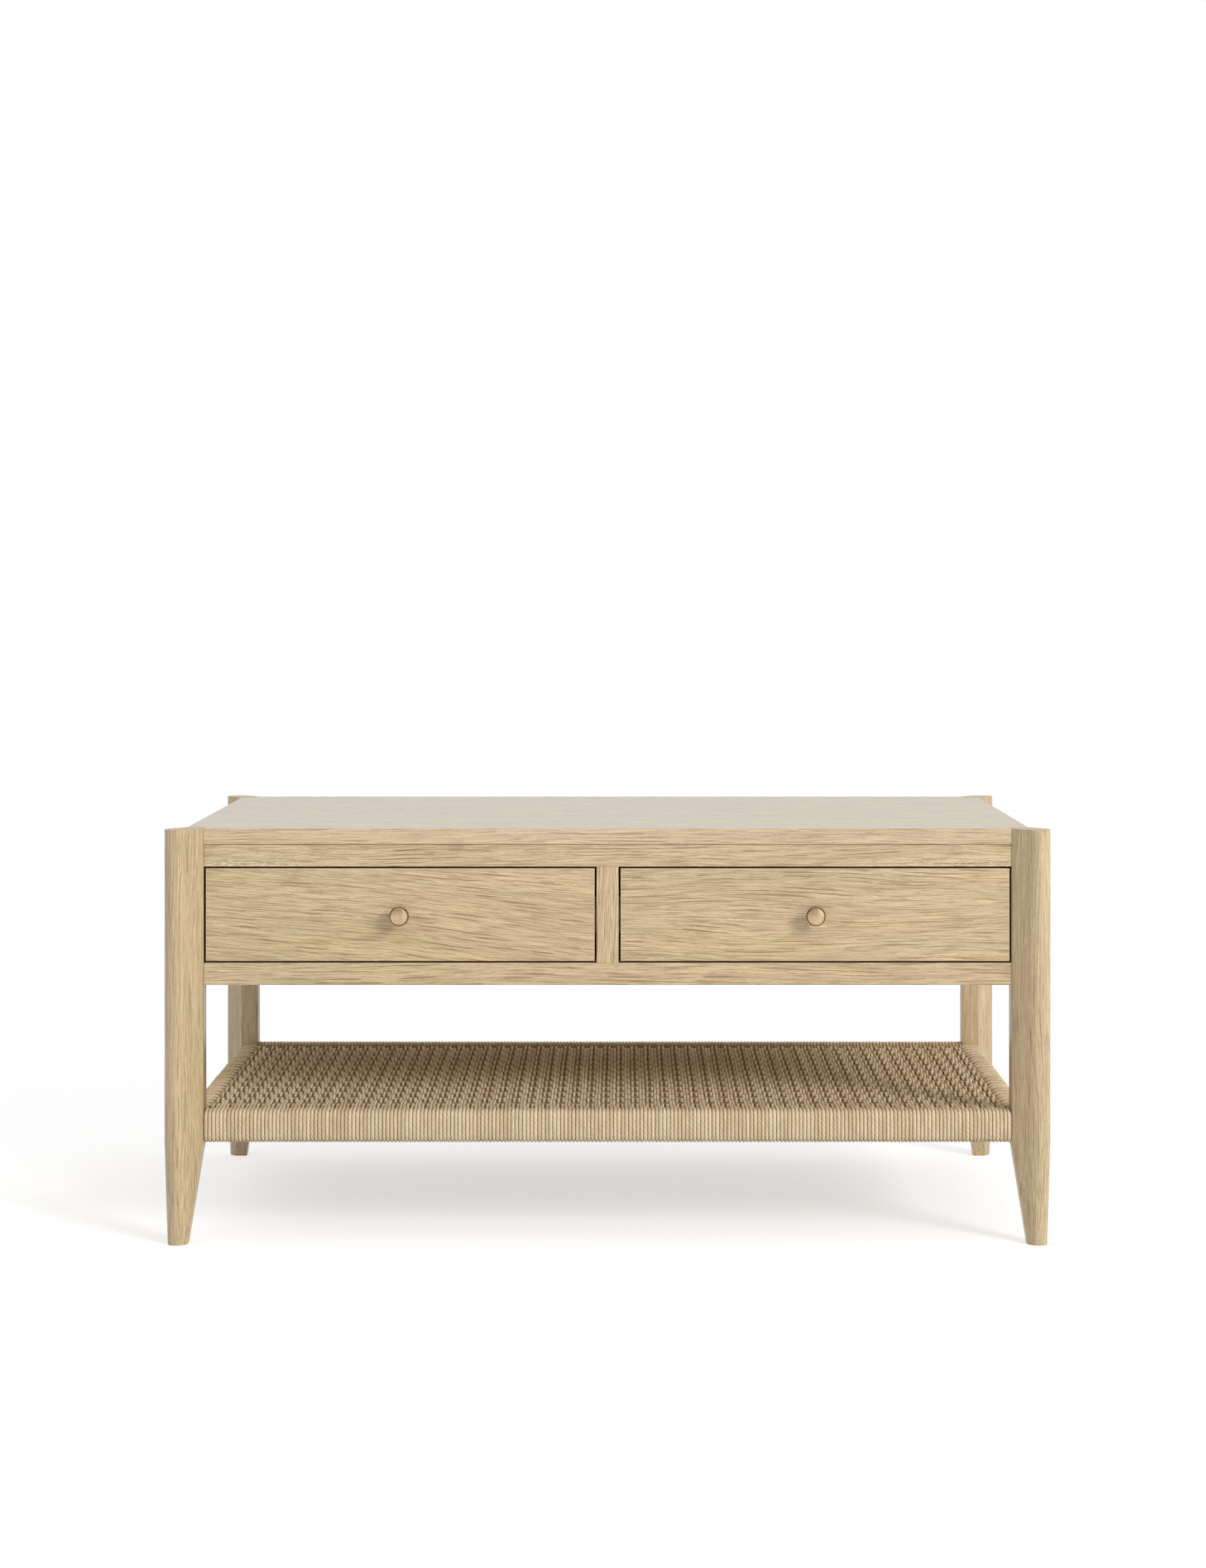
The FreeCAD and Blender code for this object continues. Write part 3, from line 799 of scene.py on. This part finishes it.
@dataclass(frozen=True)
class RailSection:
    """Where the middles of the cords lie round a shelf rail, as distances outwards and heights."""

    inner: float
    outer: float
    corner: float
    bottom: float
    top: float

    STEP, STEPS = 22.5, 5
    LAP = 0.2 * MM

    def _turn(self, out: float, height: float, start: float, corner: float) -> list[Point]:
        """Turn a quarter round a middle, from an angle in degrees."""
        return arc((out, height), (corner, corner), (start + step * self.STEP for step in range(self.STEPS)))

    def hook(self, start: float) -> list[Point]:
        """Go round the rail from its inner face, under it and up to the start of its top.

        Args:
            start: The height at which the cord starts.

        Returns:
            Points as distance outwards and height.
        """
        near, far = self.inner + self.corner, self.outer - self.corner
        low, high = self.bottom + self.corner, self.top - self.corner
        turns = ((near, low, 180), (far, low, 270), (far, high, 0))
        return [(self.inner, start)] + [point for turn in turns for point in self._turn(*turn, self.corner)]

    def ring(self, inner_corner: float) -> list[Point]:
        """Go once round the rail, from the middle of its inner face and back to it.

        Args:
            inner_corner: The most that the radius of the last corner may be.

        Returns:
            Points as distance outwards and height.
        """
        middle = (self.bottom + self.top) / 2
        corner = min(self.corner, inner_corner)
        last = self._turn(self.inner + corner, self.top - corner, 90, corner)
        return [*self.hook(middle - self.LAP), *last, (self.inner, middle + self.LAP)]


@dataclass
class WovenShelf:
    """The woven shelf: warps from front to back, wefts from side to side, and the wraps on its rails.

    Warps go in pairs that dip by turns. A pair that floats high rises over the first row of wefts.
    """

    finish: CordFinish = CordFinish()
    thickness: float = 4.32 * MM
    warps: int = 213
    rows: int = 23
    warp_pieces: int = 4
    corner: float = 6.85 * MM
    side_corner: float = 10.0 * MM
    inner_corner: float = 7.0 * MM
    field_girth: float = 0.88
    bead_waist: float = 0.16
    field_ease: float = 4.0 * MM
    warp_swing: float = 7.4 * MM
    proud: float = 0.3 * MM
    rail_drop: float = 0.4 * MM
    warp_shifts: tuple[float, ...] = (-1.85 * MM, -1.5 * MM, -0.2 * MM, -1.1 * MM)
    warp_end: float = 4.0 * MM
    shift_ease: float = 8.0 * MM
    pair_reach: float = 0.35 * MM
    single_reach: float = 0.1 * MM
    sink_reach: float = 0.3 * MM
    slow_wave: float = 21.0
    quick_wave: float = 90.0
    quick_reach: float = 0.2 * MM
    stations: int = 5
    front_dip: float = 0.13
    last_rise: float = 0.8
    low_pair_sink: float = 0.5 * MM
    low_pair_girth: float = 0.92
    rail_gap: float = 4.0 * MM
    rail_gap_depth: float = 5.0 * MM
    front_bends: Point = (-4.0 * MM, 3.0 * MM)
    back_dive: float = 0.9
    back_bends: tuple[Point, ...] = ((0.5 * MM, 3.0 * MM), (3.0 * MM, 0.5 * MM))
    wraps_between: tuple[int, int] = (2, 3)
    end_wraps: int = 3
    slack_reach: Triple = (0.9 * MM, 0.5 * MM, 0.5 * MM)
    slack_start: float = 0.6
    wrap_drop: float = 1.1 * MM
    weft_rise: float = 0.5 * MM
    weft_end: float = 2.0 * MM
    weft_ease: Point = (13 * MM, 3 * MM)
    weft_wave: float = 25.0
    weft_reach: float = 0.25 * MM
    weft_flatness: float = 1.6
    weft_steps: int = 8
    # Painted shade laid over all of the side rails' plain wraps.
    wrap_shade: float = 0.42
    seed: int = 7
    chance: random.Random = field(init=False)

    def __post_init__(self) -> None:
        """Read the wraps' and the field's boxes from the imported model."""
        self.chance = random.Random(self.seed)
        self.pair_wander = self.pair_phase = 0.0
        half = self.thickness / 2
        self.slim = self.thickness * self.field_girth
        low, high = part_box("shelf_wrap_front")
        self.half_length = high[0]
        self.pitch = 2 * self.half_length / self.warps
        self.pair_pitch = 4 * self.pitch
        self.bottom, self.top = low[2] + half, high[2] - half - self.rail_drop
        self.crest = high[2] - self.slim / 2 + self.proud
        self.front = RailSection(-high[1] + half, -low[1] - half, self.corner, self.bottom, self.top)
        low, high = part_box("shelf_wrap_right")
        self.half_depth = high[1]
        self.side = RailSection(low[0] + half, high[0] - half, self.side_corner, self.bottom, self.top)
        self.middle = self.crest - self.warp_swing / 2
        self.weft_swing = 2 * self.slim - self.warp_swing
        self.row_pitch = 2 * self.half_depth / (self.rows + 1)
        self.first_row = self.row_pitch - self.half_depth
        self.last_row = self.first_row + self.row_pitch * (self.rows - 1)

    @staticmethod
    def _floats_high(index: int) -> bool:
        """Tell whether a warp is one of a pair that floats high."""
        return index % 4 in (3, 0)

    def _girth(self, place: Vector, slim: float = 1.0) -> float:
        """Give a cord's share of its thickness: all of it on the rails, less in the tight field.

        Args:
            place: A point of the cord.
            slim: How much of that share this cord keeps between the rails.

        Returns:
            The share, least where the cord dips.
        """
        within = min(self.half_depth - abs(place.y), self.side.inner - abs(place.x))
        tight = smooth(within, -self.field_ease, self.field_ease)
        dip = min(max((self.crest - place.z) / self.warp_swing, 0.0), 1.0)
        girth = 1 - (1 - self.field_girth * (1 - self.bead_waist * dip)) * tight
        return girth * slim if abs(place.y) < self.half_depth else girth

    def _warp_height(self, y: float, floats_high: bool) -> float:
        """Give a warp's height in the field.

        Args:
            y: The place along the warp.
            floats_high: Whether the warp rises over the first row, or dips at it.

        Returns:
            The height of the cord's middle.
        """
        wave = math.cos(math.pi * (y - self.first_row) / self.row_pitch)
        depth = (1 + wave) / 2 if floats_high else (1 - wave) / 2
        if y < self.first_row + self.row_pitch * floats_high:
            depth *= self.front_dip
        if y > self.last_row:
            depth = max(depth, smooth(y, self.last_row, self.last_row + self.row_pitch * self.last_rise))
        return self.crest - self.warp_swing * depth

    def _warp(self, index: int) -> list[Vector]:
        """Lay one warp round the front rail, through the field and round the back rail.

        Args:
            index: The warp's number from the left.

        Returns:
            The points that the cord follows.
        """
        x = -self.half_length + self.pitch * (index + 0.5)
        high = self._floats_high(index)
        if index % 2:
            self.pair_wander = self.chance.uniform(-self.pair_reach, self.pair_reach)
            self.pair_phase = self.chance.uniform(0, math.tau)
        phase = self.pair_phase
        wander = self.pair_wander + self.chance.uniform(-self.single_reach, self.single_reach)
        sink = self.chance.uniform(-self.sink_reach, 0.0) - self.low_pair_sink * (not high)
        hook = self.front.hook(self.top - self.corner - self.warp_end)
        edge, inner = self.half_depth + self.rail_gap, self.front.inner
        gap = 0.0 if high else self.rail_gap_depth
        start = [(-out, height) for out, height in hook]
        start += [(-edge + bend, self.top - drop) for bend, drop in zip(self.front_bends, (0.0, gap))]
        points = [Vector((x, y, z)) for y, z in start]
        for step in range(2 - self.stations, self.rows * self.stations - 1):
            y = self.first_row + self.row_pitch * step / self.stations
            share = smooth(self.half_depth - abs(y), -self.field_ease, self.shift_ease)
            shift = wander * math.sin(y * self.slow_wave + phase) + self.warp_shifts[index % 4] * share
            shift += self.quick_reach * math.sin(y * self.quick_wave + phase)
            points.append(Vector((x + shift, y, self._warp_height(y, high) + sink)))
        end = [(inner, self.crest - self.warp_swing * self.back_dive)]
        end += [(inner + out, self.top - drop) for out, drop in self.back_bends]
        end += reversed(hook)
        return points + [Vector((x, y, z)) for y, z in end]

    def _bundle(self, name: str, beside: int, shade: float = 0.0) -> CordBundle:
        """Start a bundle of cords that lie side by side along X, 0, or along Y, 1."""
        half = (self.side.inner, self.half_depth)
        return CordBundle(name, self.thickness, beside, self.middle, half, shade)

    def _wraps(self, name: str, places: list[float], across: bool, side: int) -> CordBundle:
        """Wind plain turns round a rail.

        Args:
            name: The bundle's name.
            places: Each turn's place along the rail.
            across: Whether the rail runs from front to back.
            side: 1 for the right or back rail, -1 for the left or front one.

        Returns:
            The bundle of turns.
        """
        # The side rails' wraps take painted shade all over.
        bundle = self._bundle(name, int(across), self.wrap_shade if across else 0.0)
        rail = self.side if across else self.front
        for place in places:
            slack = self._slack(self.wrap_drop) if across else (0.0, 0.0, 0.0)
            run = []
            for out, height in rail.ring(self.inner_corner):
                along, lifted = self._loosen(slack, place, out, height)
                run.append(Vector((side * out, along, lifted) if across else (along, side * out, lifted)))
            bundle.add(run, [1.0] * len(run))
        return bundle

    def _slack(self, drop: float) -> Triple:
        """Give a side turn's lean along the rail, and how far it lies off at the inner and outer edge."""
        lean, inner, outer = (self.chance.uniform(-reach, reach) for reach in self.slack_reach)
        return lean, inner - drop, outer - drop / 2

    def _loosen(self, slack: Triple, place: float, out: float, height: float) -> Point:
        """Move a point of a turn on a side rail by the turn's slack.

        Args:
            slack: The lean and the two lifts.
            place: The turn's place along the rail.
            out: The point's distance outwards.
            height: The point's height.

        Returns:
            The point's place along the rail and its height.
        """
        lean, inner_lift, outer_lift = slack
        rise = (height - self.bottom) / (self.top - self.bottom)
        share = (out - self.side.inner) / (self.side.outer - self.side.inner)
        lift = inner_lift + (outer_lift - inner_lift) * min(max(share, 0.0), 1.0)
        return place + lean * rise, height + lift * smooth(rise, self.slack_start, 1.0)

    def _side_places(self) -> tuple[list[tuple[float, float, int]], list[float]]:
        """Share out the turns on a side rail between wefts and plain wraps.

        Returns:
            The wefts as their place on the rail, in the field and their row, and the wraps' places.
        """
        wrap = None
        kinds: list[Point | None] = [wrap] * self.end_wraps
        for row in range(self.rows):
            kinds += [(row, -0.5), (row, 0.5)]
            kinds += [wrap] * (self.wraps_between[row % 2] if row < self.rows - 1 else self.end_wraps)
        pitch = 2 * self.half_depth / len(kinds)
        wefts, wraps = [], []
        for count, weft in enumerate(kinds):
            outside = -self.half_depth + pitch * (count + 0.5)
            if weft is wrap:
                wraps.append(outside)
            else:
                row, off = weft
                wefts.append((outside, self.first_row + self.row_pitch * row + off * self.slim, row))
        return wefts, wraps

    def _weft(self, outside: float, inside: float, row: int) -> list[Vector]:
        """Lay one weft round the left rail, through the field and round the right rail.

        Args:
            outside: Its place along the side rails.
            inside: Its place along the field.
            row: Its row from the front.

        Returns:
            The points that the cord follows.
        """
        hook = self.side.hook(self.top - self.side_corner - self.weft_end)
        edge, (ease_in, ease_out) = self.side.inner, self.weft_ease
        phase = self.chance.uniform(0, math.tau)
        slack = (self._slack(-self.weft_rise), self._slack(-self.weft_rise))

        def station(x: float, height: float) -> Vector:
            """Ease a point from the field's row to its place on the rail.

            Args:
                x: Its place from left to right.
                height: Its height in the row.

            Returns:
                The eased point.
            """
            share = smooth(abs(x), edge - ease_in, edge + ease_out)
            along, lifted = self._loosen(slack[x > 0], outside, abs(x), height)
            wave = self.weft_reach * math.sin(x * self.weft_wave + phase)
            return Vector((x, (inside + wave) * (1 - share) + along * share, height + (lifted - height) * share))

        run = [station(-out, height) for out, height in hook]
        step = self.pair_pitch / self.weft_steps
        high_warp = self.pair_pitch - self.half_length
        swing = self.weft_swing / 2 * (-1 if row % 2 else 1)
        reach = edge - self.field_ease
        run.append(station(-edge - self.field_ease, self.top))
        for turn in range(-math.floor((reach + high_warp) / step), math.floor((reach - high_warp) / step) + 1):
            wave = math.tanh(self.weft_flatness * math.cos(math.tau * turn / self.weft_steps))
            run.append(station(high_warp + turn * step, self.middle + swing * wave / math.tanh(self.weft_flatness)))
        run.append(station(edge + self.field_ease, self.top))
        return run + [station(out, height) for out, height in reversed(hook)]

    def build(self, effects: Effects) -> None:
        """Make every cord of the shelf and put it in place of the plain solids.

        Args:
            effects: The shared node groups.
        """
        cord = self.finish.material(effects)
        bundles = []
        woven = range(1, self.warps - 1)
        share = math.ceil(len(woven) / self.warp_pieces)
        for part in range(self.warp_pieces):
            bundle = self._bundle(f"woven_warps_{part + 1}", 0)
            for index in woven[part * share:(part + 1) * share]:
                run, slim = self._warp(index), 1.0 if self._floats_high(index) else self.low_pair_girth
                bundle.add(run, [self._girth(place, slim) for place in run])
            bundles.append(bundle)
        wefts, wraps = self._side_places()
        for part in range(2):
            bundle = self._bundle(f"woven_wefts_{part + 1}", 1)
            for weft in wefts[part * self.rows:(part + 1) * self.rows]:
                run = self._weft(*weft)
                bundle.add(run, [self._girth(place) for place in run])
            bundles.append(bundle)
        ends = [side * (self.half_length - self.pitch / 2) for side in (-1, 1)]
        bundles.append(self._wraps("front_rail_end_wraps", ends, False, -1))
        bundles.append(self._wraps("back_rail_end_wraps", ends, False, 1))
        bundles.append(self._wraps("left_rail_wraps", wraps, True, -1))
        bundles.append(self._wraps("right_rail_wraps", wraps, True, 1))
        stands_for = {
            "woven_warps_1": ("woven_panel", "shelf_wrap_front", "shelf_wrap_back"),
            "left_rail_wraps": ("shelf_wrap_left",),
            "right_rail_wraps": ("shelf_wrap_right",),
        }
        for bundle in bundles:
            piece = bundle.make(cord, "carcass", "woven_cord", self.chance)
            if bundle.name in stands_for:
                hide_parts(*stands_for[bundle.name])


@dataclass
class Knob:
    """A turned knob: a slim neck, a head with a bevelled rim and a shallow domed face."""

    side: str
    material: Material
    neck: float = 4.5 * MM
    foot: float = 5.4 * MM
    foot_height: float = 0.8 * MM
    foot_fillet: Point = (0.2 * MM, 1.8 * MM)
    neck_start: float = 3 * MM
    flare_start: float = 8 * MM
    head: float = 11 * MM
    head_start: float = 14.6 * MM
    back_edge: float = 1.2 * MM
    bevel: float = 1.5 * MM
    bevel_depth: float = 2.4 * MM
    bevel_turn: int = 60
    rim: float = 1.1 * MM
    dome: float = 1.25 * MM
    dome_steps: int = 7
    sides: int = 56
    merge: float = 0.01 * MM

    def _profile(self, reach: float) -> list[Point]:
        """Draw half of the knob's section.

        Args:
            reach: How far it stands out from the drawer front.

        Returns:
            Points as radius and distance out, from the drawer front to the middle of the face.
        """
        fillet, fillet_out = self.foot_fillet
        points = [(self.foot, 0.0), (self.foot, self.foot_height), (self.neck + fillet, fillet_out)]
        points.append((self.neck, self.neck_start))
        edge_radius = self.head - self.back_edge
        flare = (self.neck - edge_radius, self.head_start - self.flare_start)
        points += arc((edge_radius, self.flare_start), flare, range(0, 91, 15))
        edge = (self.back_edge, self.back_edge)
        points += arc((edge_radius, self.head_start + self.back_edge), edge, range(-72, 1, 18))
        face_radius, rim_out = self.head - self.bevel - self.rim, reach - self.dome - self.rim
        steep = math.radians(self.bevel_turn)
        bevel = (self.bevel / (1 - math.cos(steep)), self.bevel_depth / math.sin(steep))
        points += arc((self.head - bevel[0], rim_out - self.bevel_depth), bevel, range(0, self.bevel_turn + 1, 12))
        points += arc((face_radius, rim_out), (self.rim, self.rim), range(10, 91, 20))
        shares = [1 - step / self.dome_steps for step in range(1, self.dome_steps + 1)]
        return points + [(face_radius * share, reach - self.dome * share ** 2) for share in shares]

    def build(self) -> None:
        """Turn the knob and put it in place of the plain one."""
        node = f"{self.side}_drawer_knob"
        low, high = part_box(node)
        middle = Vector(((low[0] + high[0]) / 2, high[1], (low[2] + high[2]) / 2))
        shape = bmesh.new()
        places = [middle + Vector((radius, -out, 0)) for radius, out in self._profile(high[1] - low[1])]
        corners = [shape.verts.new(place) for place in places]
        edges = [shape.edges.new(pair) for pair in zip(corners, corners[1:])]
        bmesh.ops.spin(
            shape, geom=corners + edges, cent=middle, axis=(0, 1, 0), angle=math.tau, steps=self.sides,
            use_merge=True,
        )
        bmesh.ops.remove_doubles(shape, verts=shape.verts, dist=self.merge)
        bmesh.ops.holes_fill(shape, edges=[edge for edge in shape.edges if edge.is_boundary], sides=0)
        bmesh.ops.recalc_face_normals(shape, faces=shape.faces)
        for face in shape.faces:
            face.smooth = len(face.verts) < 5
        mesh = bpy.data.meshes.new(f"{self.side}_turned_knob")
        shape.to_mesh(mesh)
        shape.free()
        # The head's outer ring, its bevel and back edge, is marked for a painted dark reflection.
        face_radius = self.head - self.bevel + 5 * self.merge
        away = [(corner.co - middle) * Vector((1, 0, 1)) for corner in mesh.vertices]
        mark_nooks(mesh, [float(place.length > face_radius) for place in away])
        piece = show(mesh.name, mesh, self.material, f"{self.side}_drawer")
        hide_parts(node)


@dataclass
class Woodwork:
    """The boards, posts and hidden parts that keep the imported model's shapes."""

    effects: Effects
    # A painted highlight along the drawer fronts' edges.
    rim_light: Colour = srgb(238, 222, 196)
    rim_reach: float = 1.0 * MM
    rim_amount: float = 0.6

    def __post_init__(self) -> None:
        """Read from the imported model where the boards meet."""
        low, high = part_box("left_drawer_front")
        self.drawer_edges = (UPWARD, low[2]), (UPWARD, high[2]), (ACROSS, -high[0]), (ACROSS, -low[0])
        self.top_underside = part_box("top_board")[0][2]
        self.rail_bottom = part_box("upper_front_rail")[0][2]
        self.leg_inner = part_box("leg_front_right")[0][0]

    def boards(self) -> dict[str, WoodFinish]:
        """Choose a finish for every wooden part that shows.

        Returns:
            Finishes by node.
        """
        along_x, along_y, along_z = Grain.ALONG_X, Grain.ALONG_Y, Grain.ALONG_Z
        under_top, inner_side = Seam(UPWARD, self.top_underside), Seam(ACROSS, self.leg_inner)
        ray_flecks = (Seam(UPWARD, self.rail_bottom, 16 * MM), Seam(ACROSS, self.leg_inner, 260 * MM))
        # The drawer fronts' edges take a painted highlight.
        rim = tuple(Seam(*edge, self.rim_reach, self.rim_light, self.rim_amount) for edge in self.drawer_edges)
        finishes = {
            "top_board": WoodFinish(
                "oak_top", along_x, log_place=(0.0, 0.7, 0.0), lines=0.7, sheen=0.9, seams=(under_top,),
            ),
            "upper_front_rail": WoodFinish(
                "oak_upper_rail", along_x, log_place=(2.0, 0.3, 0.1), flecks=ray_flecks,
                seams=(under_top, inner_side),
            ),
            "lower_front_rail": WoodFinish("oak_lower_rail", along_x, log_place=(4.0, 0.9, 0.2), seams=(inner_side,)),
            "left_drawer_front": WoodFinish(
                "oak_left_front", along_x, slope=0.09, log_place=(6.0, 0.1, 0.3), seams=rim,
            ),
            "right_drawer_front": WoodFinish(
                "oak_right_front", along_x, slope=0.01, log_place=(8.0, 0.4, 0.4), seams=rim,
            ),
        }
        plain = (
            ("centre_divider", "oak_divider", along_z), ("centre_partition", "oak_partition", along_y),
            ("side_panel_left", "oak_left_side", along_y), ("side_panel_right", "oak_right_side", along_y),
            ("back_panel", "oak_back", along_x),
        )
        for count, (node, name, grain) in enumerate(plain):
            finishes[node] = WoodFinish(name, grain, log_place=(1.0 + 2 * count, 0.2, 0.7))
        for count, end in enumerate(("front_left", "front_right", "back_left", "back_right")):
            # The front left leg's inner flank takes a painted shade; on the other legs its amount is 0.
            aged = Seam(ACROSS, self.leg_inner, 26 * MM, srgb(168, 140, 92), 0.3 * (end == "front_left"))
            finishes[f"leg_{end}"] = WoodFinish(
                f"oak_leg_{end}", along_z, shorten=0.85, lines=0.7, spacing=5.5 * MM, sheen=0.4,
                log_place=(11.0 + 2 * count, 0.13 * count, 0.29 * count), seams=(aged, inner_side),
                light=srgb(209, 186, 148), warm=srgb(213, 184, 146), cool=srgb(203, 184, 137),
            )
        return finishes

    def hidden(self) -> dict[str, WoodFinish]:
        """Choose a finish for every wooden part inside, below or behind.

        Returns:
            Finishes by node.
        """
        along_x, along_y, pale = Grain.ALONG_X, Grain.ALONG_Y, srgb(226, 208, 178)
        box = dict(light=pale, warm=srgb(220, 200, 168), cool=srgb(216, 202, 170), lines=0.25, pores=0.2)
        ply = dict(light=pale, warm=srgb(222, 198, 160), cool=pale, lines=0.18, spacing=9 * MM, wave=60 * MM)
        parts = [
            ("bottom_panel", "plywood_bottom", along_x, ply), ("rail_dowels", "beech_rail_dowels", along_x, box),
            ("panel_dowels", "beech_panel_dowels", along_y, box),
            ("shelf_dowels", "beech_shelf_dowels", along_x, box),
            ("shelf_rail_front", "rail_wood_front", along_x, box), ("shelf_rail_back", "rail_wood_back", along_x, box),
        ]
        for side in HANDS:
            drawer = f"{side}_drawer"
            parts += [
                (f"{drawer}_back", f"{drawer}_back_wood", along_x, box),
                (f"{drawer}_left_side", f"{drawer}_left_wood", along_y, box),
                (f"{drawer}_right_side", f"{drawer}_right_wood", along_y, box),
                (f"{drawer}_bottom", f"{drawer}_bottom_ply", along_x, ply),
                (f"shelf_rail_{side}", f"rail_wood_{side}", along_y, box),
            ]
        return {node: WoodFinish(name, grain, **kind) for node, name, grain, kind in parts}

    def build(self) -> None:
        """Give every wooden node its material."""
        for node, finish in {**self.boards(), **self.hidden()}.items():
            dress(node, finish.material(self.effects))


@dataclass
class Ironwork:
    """The slides, screws and angles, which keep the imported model's shapes."""

    effects: Effects
    steel: MetalFinish = MetalFinish("zinc_steel", srgb(152, 150, 147), srgb(134, 132, 129), 0.34)
    words: tuple[str, ...] = ("slide", "screw", "angles")

    def build(self) -> None:
        """Give every steel node its material."""
        material = self.steel.material(self.effects)
        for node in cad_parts:
            if any(word in node for word in self.words):
                dress(node, material)


@dataclass(frozen=True)
class Studio:
    """A plain pale floor, an even white surround and one soft lamp from the front right."""

    floor_half: float = 30.0
    floor_paint: Colour = (0.8, 0.8, 0.8, 1.0)
    seen_paint: Colour = (0.66, 0.66, 0.66, 1.0)
    seen_glow: float = 0.57
    sky_low: float = 0.43
    sky_high: float = 0.74
    mirror_low: float = 0.9
    mirror_high: float = 0.28
    mirror_rise: Point = (0.22, 0.5)
    mirror_top: float = 1.1
    mirror_top_rise: Point = (0.68, 0.86)
    mirror_lamp: float = 3.0
    mirror_lamp_edge: Point = (0.9, 0.975)
    lamp_watts: float = 320.0
    lamp_size: float = 2.6
    lamp_distance: float = 8.0
    lamp_turn: float = 43.0
    lamp_height: float = 24.0
    lamp_aim: Triple = (0.0, 0.0, 0.3)

    def _outward_rays(self, w: Wiring) -> Socket:
        """Tell the rays that show the background from those that carry light.

        Args:
            w: The wiring of the tree to add nodes to.

        Returns:
            1 for camera, glossy and transmission rays, and 0 for others.
        """
        path = w.add("ShaderNodeLightPath").outputs
        seen = w.math("ADD", path["Is Camera Ray"], path["Is Glossy Ray"], clamp=True)
        return w.math("ADD", seen, path["Is Transmission Ray"], clamp=True)

    def floor(self) -> None:
        """Lay the floor."""
        shape = bmesh.new()
        bmesh.ops.create_grid(shape, x_segments=1, y_segments=1, size=self.floor_half)
        mesh = bpy.data.meshes.new("floor")
        shape.to_mesh(mesh)
        shape.free()
        paint = bpy.data.materials.new("floor_paint")
        w = blank(paint)
        lit, seen = (w.chain("ShaderNodeBsdfDiffuse", colour) for colour in (self.floor_paint, self.seen_paint))
        seen = w.chain("ShaderNodeAddShader", seen, w.chain("ShaderNodeEmission", WHITE, self.seen_glow))
        w.fill(w.add("ShaderNodeOutputMaterial"), Surface=w.choose(self._outward_rays(w), lit, seen))
        mesh.materials.append(paint)
        put("floor", mesh)

    def world(self) -> None:
        """Set the surround: white to the camera, brighter overhead than at the horizon as light."""
        surround = bpy.data.worlds.new("studio")
        w = blank(surround)
        direction = w.add("ShaderNodeTexCoord").outputs["Generated"]
        _, _, rise = w.split(direction)
        path = w.add("ShaderNodeLightPath").outputs
        middle = w.remap(rise, *self.mirror_rise, self.mirror_low, self.mirror_high)
        above = w.math("MAXIMUM", middle, w.remap(rise, *self.mirror_top_rise, 0.0, self.mirror_top))
        glint = w.remap(w.dot(direction, self._lamp_way()), *self.mirror_lamp_edge, 0.0, self.mirror_lamp)
        strengths = (w.remap(rise, 0.0, 1.0, self.sky_low, self.sky_high), w.math("MAXIMUM", above, glint), 1.0)
        light, mirrored, seen = (w.chain("ShaderNodeBackground", WHITE, strength) for strength in strengths)
        outward = w.choose(path["Is Glossy Ray"], seen, mirrored)
        w.fill(w.add("ShaderNodeOutputWorld"), Surface=w.choose(self._outward_rays(w), light, outward))
        bpy.context.scene.world = surround

    def _lamp_way(self) -> Vector:
        """Give the direction from the table to the lamp."""
        turn, rise = math.radians(self.lamp_turn), math.radians(self.lamp_height)
        return Vector((math.sin(turn) * math.cos(rise), -math.cos(turn) * math.cos(rise), math.sin(rise)))

    def lamp(self) -> None:
        """Hang the lamp in front on the right, facing the table. Mirror-like rays see the surround instead."""
        away = self._lamp_way()
        light = bpy.data.lights.new("key", "AREA")
        light.shape = "DISK"
        light.size = self.lamp_size
        light.energy = self.lamp_watts
        lamp = put("key", light)
        lamp.location = Vector(self.lamp_aim) + away * self.lamp_distance
        lamp.rotation_euler = away.to_track_quat("Z", "Y").to_euler()
        lamp.visible_glossy = False

    def build(self) -> None:
        """Set up the whole studio."""
        self.floor()
        self.world()
        self.lamp()
        log.info("studio: floor, surround and lamp")


@dataclass(frozen=True)
class Viewpoint:
    """The photograph's camera, level and looking straight back."""

    place: Triple = (0.021, -3.548, 0.741)
    focal_pixels: float = 4056.0
    aim_pixel: Point = (872.2, 818.1)
    sensor: float = 36.0
    farthest: float = 100.0

    def build(self) -> None:
        """Set up the camera and make it the scene's own."""
        view = bpy.data.cameras.new("photograph")
        view.sensor_fit = "VERTICAL"
        view.sensor_height = self.sensor
        view.lens = self.focal_pixels / IMAGE_HEIGHT * self.sensor
        view.shift_x = (IMAGE_WIDTH / 2 - self.aim_pixel[0]) / IMAGE_HEIGHT
        view.shift_y = (self.aim_pixel[1] - IMAGE_HEIGHT / 2) / IMAGE_HEIGHT
        view.clip_end = self.farthest
        camera = put("photograph", view)
        camera.location = self.place
        camera.rotation_euler = (math.pi / 2, 0, 0)
        bpy.context.scene.camera = camera
        log.info("camera: lens %.1f mm", view.lens)


def main() -> None:
    """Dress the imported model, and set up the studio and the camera."""
    logging.basicConfig(level=logging.INFO, format="%(message)s")
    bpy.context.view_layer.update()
    bpy.context.scene.view_settings.view_transform = "Standard"
    effects = Effects()
    Woodwork(effects).build()
    Ironwork(effects).build()
    WovenShelf().build(effects)
    brass = MetalFinish("satin_brass", srgb(205, 182, 147), srgb(190, 166, 131), 0.22).material(effects)
    for side in HANDS:
        Knob(side, brass).build()
    Studio().build()
    Viewpoint().build()


if __name__ == "__main__":
    main()
